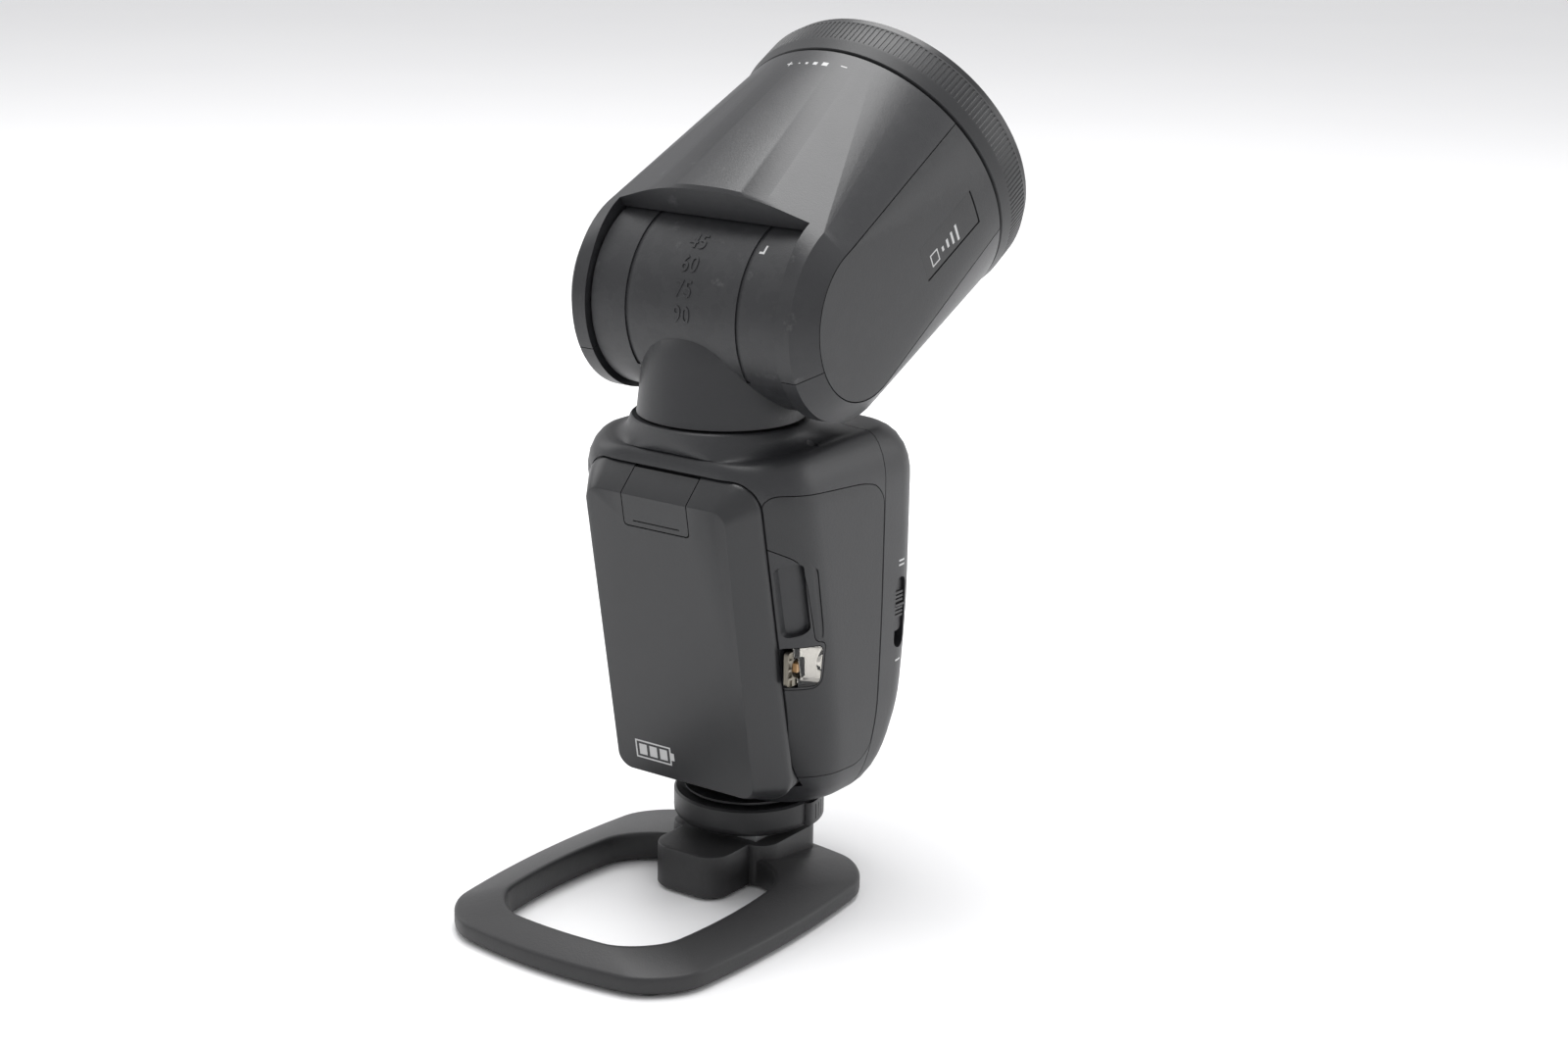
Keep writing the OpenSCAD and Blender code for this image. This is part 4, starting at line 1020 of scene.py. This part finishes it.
def make_stand():
    def edge(offset, z):
        return lifted(stand_outline(33.1, 3.5, 40.4, 4.5, 11, offset, -33.8), z)

    def opening(offset, z):
        return lifted(stand_outline(22.1, 2.9, 27.4, 2.2, 10, offset, -41.1), z)

    rings = [edge(-1.0, 0.5), edge(-0.5, 0.62), edge(-0.1, 1.0), edge(0, 1.5), edge(0, 3.9), edge(-0.25, 4.4), edge(-0.8, 4.75),
             opening(1.4, 7.3), opening(0.9, 7.42), opening(0.4, 7.35), opening(0.08, 7.05), opening(0, 6.6),
             opening(0, 1.3), opening(0.3, 0.7), opening(0.9, 0.5)]
    stand = skin("stand_base", rings, hoop=True)

    def block(name, x0, x1, y0, y1, corner):
        return skin(name, [lifted(rounded(x0 + inset, x1 - inset, y0 + inset, y1 - inset,
                                          corner - inset, corner - inset, 10, 3), z)
                           for z, inset in ((0.5, 0.4), (0.9, 0), (10.3, 0), (10.8, 0.2), (11.0, 0.6))])

    join_in(stand, block("pod", -10, 10, -26, 4, 6), "UNION")
    join_in(stand, block("pedestal", -15, 15, -12.5, 10.5, 5), "UNION")
    join_in(stand, box("shoe_room", (-10.5, -10.5, 7.6), (10.5, 40, 20)))
    join_in(stand, box("stop_room", (-2, -8, 7.0), (2, 40, 20)))
    join_in(stand, lathe("insert_room", ((0, -1), (4.5, -1), (4.5, 6), (0, 6)), Matrix(), 64))
    for x in (-25, 25):
        for y in (-70, 4):
            join_in(stand, lathe("foot_room", ((0, -1), (3.65, -1), (3.65, 1.2), (0, 1.2)),
                                 Matrix.Translation(Vector((x, y, 0)) * MM), 48))
    finish_piece(stand, "stand", "stand", ("stand_frame",), angle=38)


def dress_cad_nodes():
    """Every carried-over node takes the finish that its record slot names."""
    slots = {part["node"]: part["material_slot"] for part in frame["record"]["subparts"]}
    for name, node in nodes.items():
        node.data.materials.clear()
        node.data.materials.append(FINISH["smoked" if name == "display_glass" else slots[name]])


make_camera()
make_room()
dress_cad_nodes()
make_stand()
make_foot()
make_body()
make_window()
make_battery()
make_controls()
make_neck()
make_head()
make_zoom_ring()
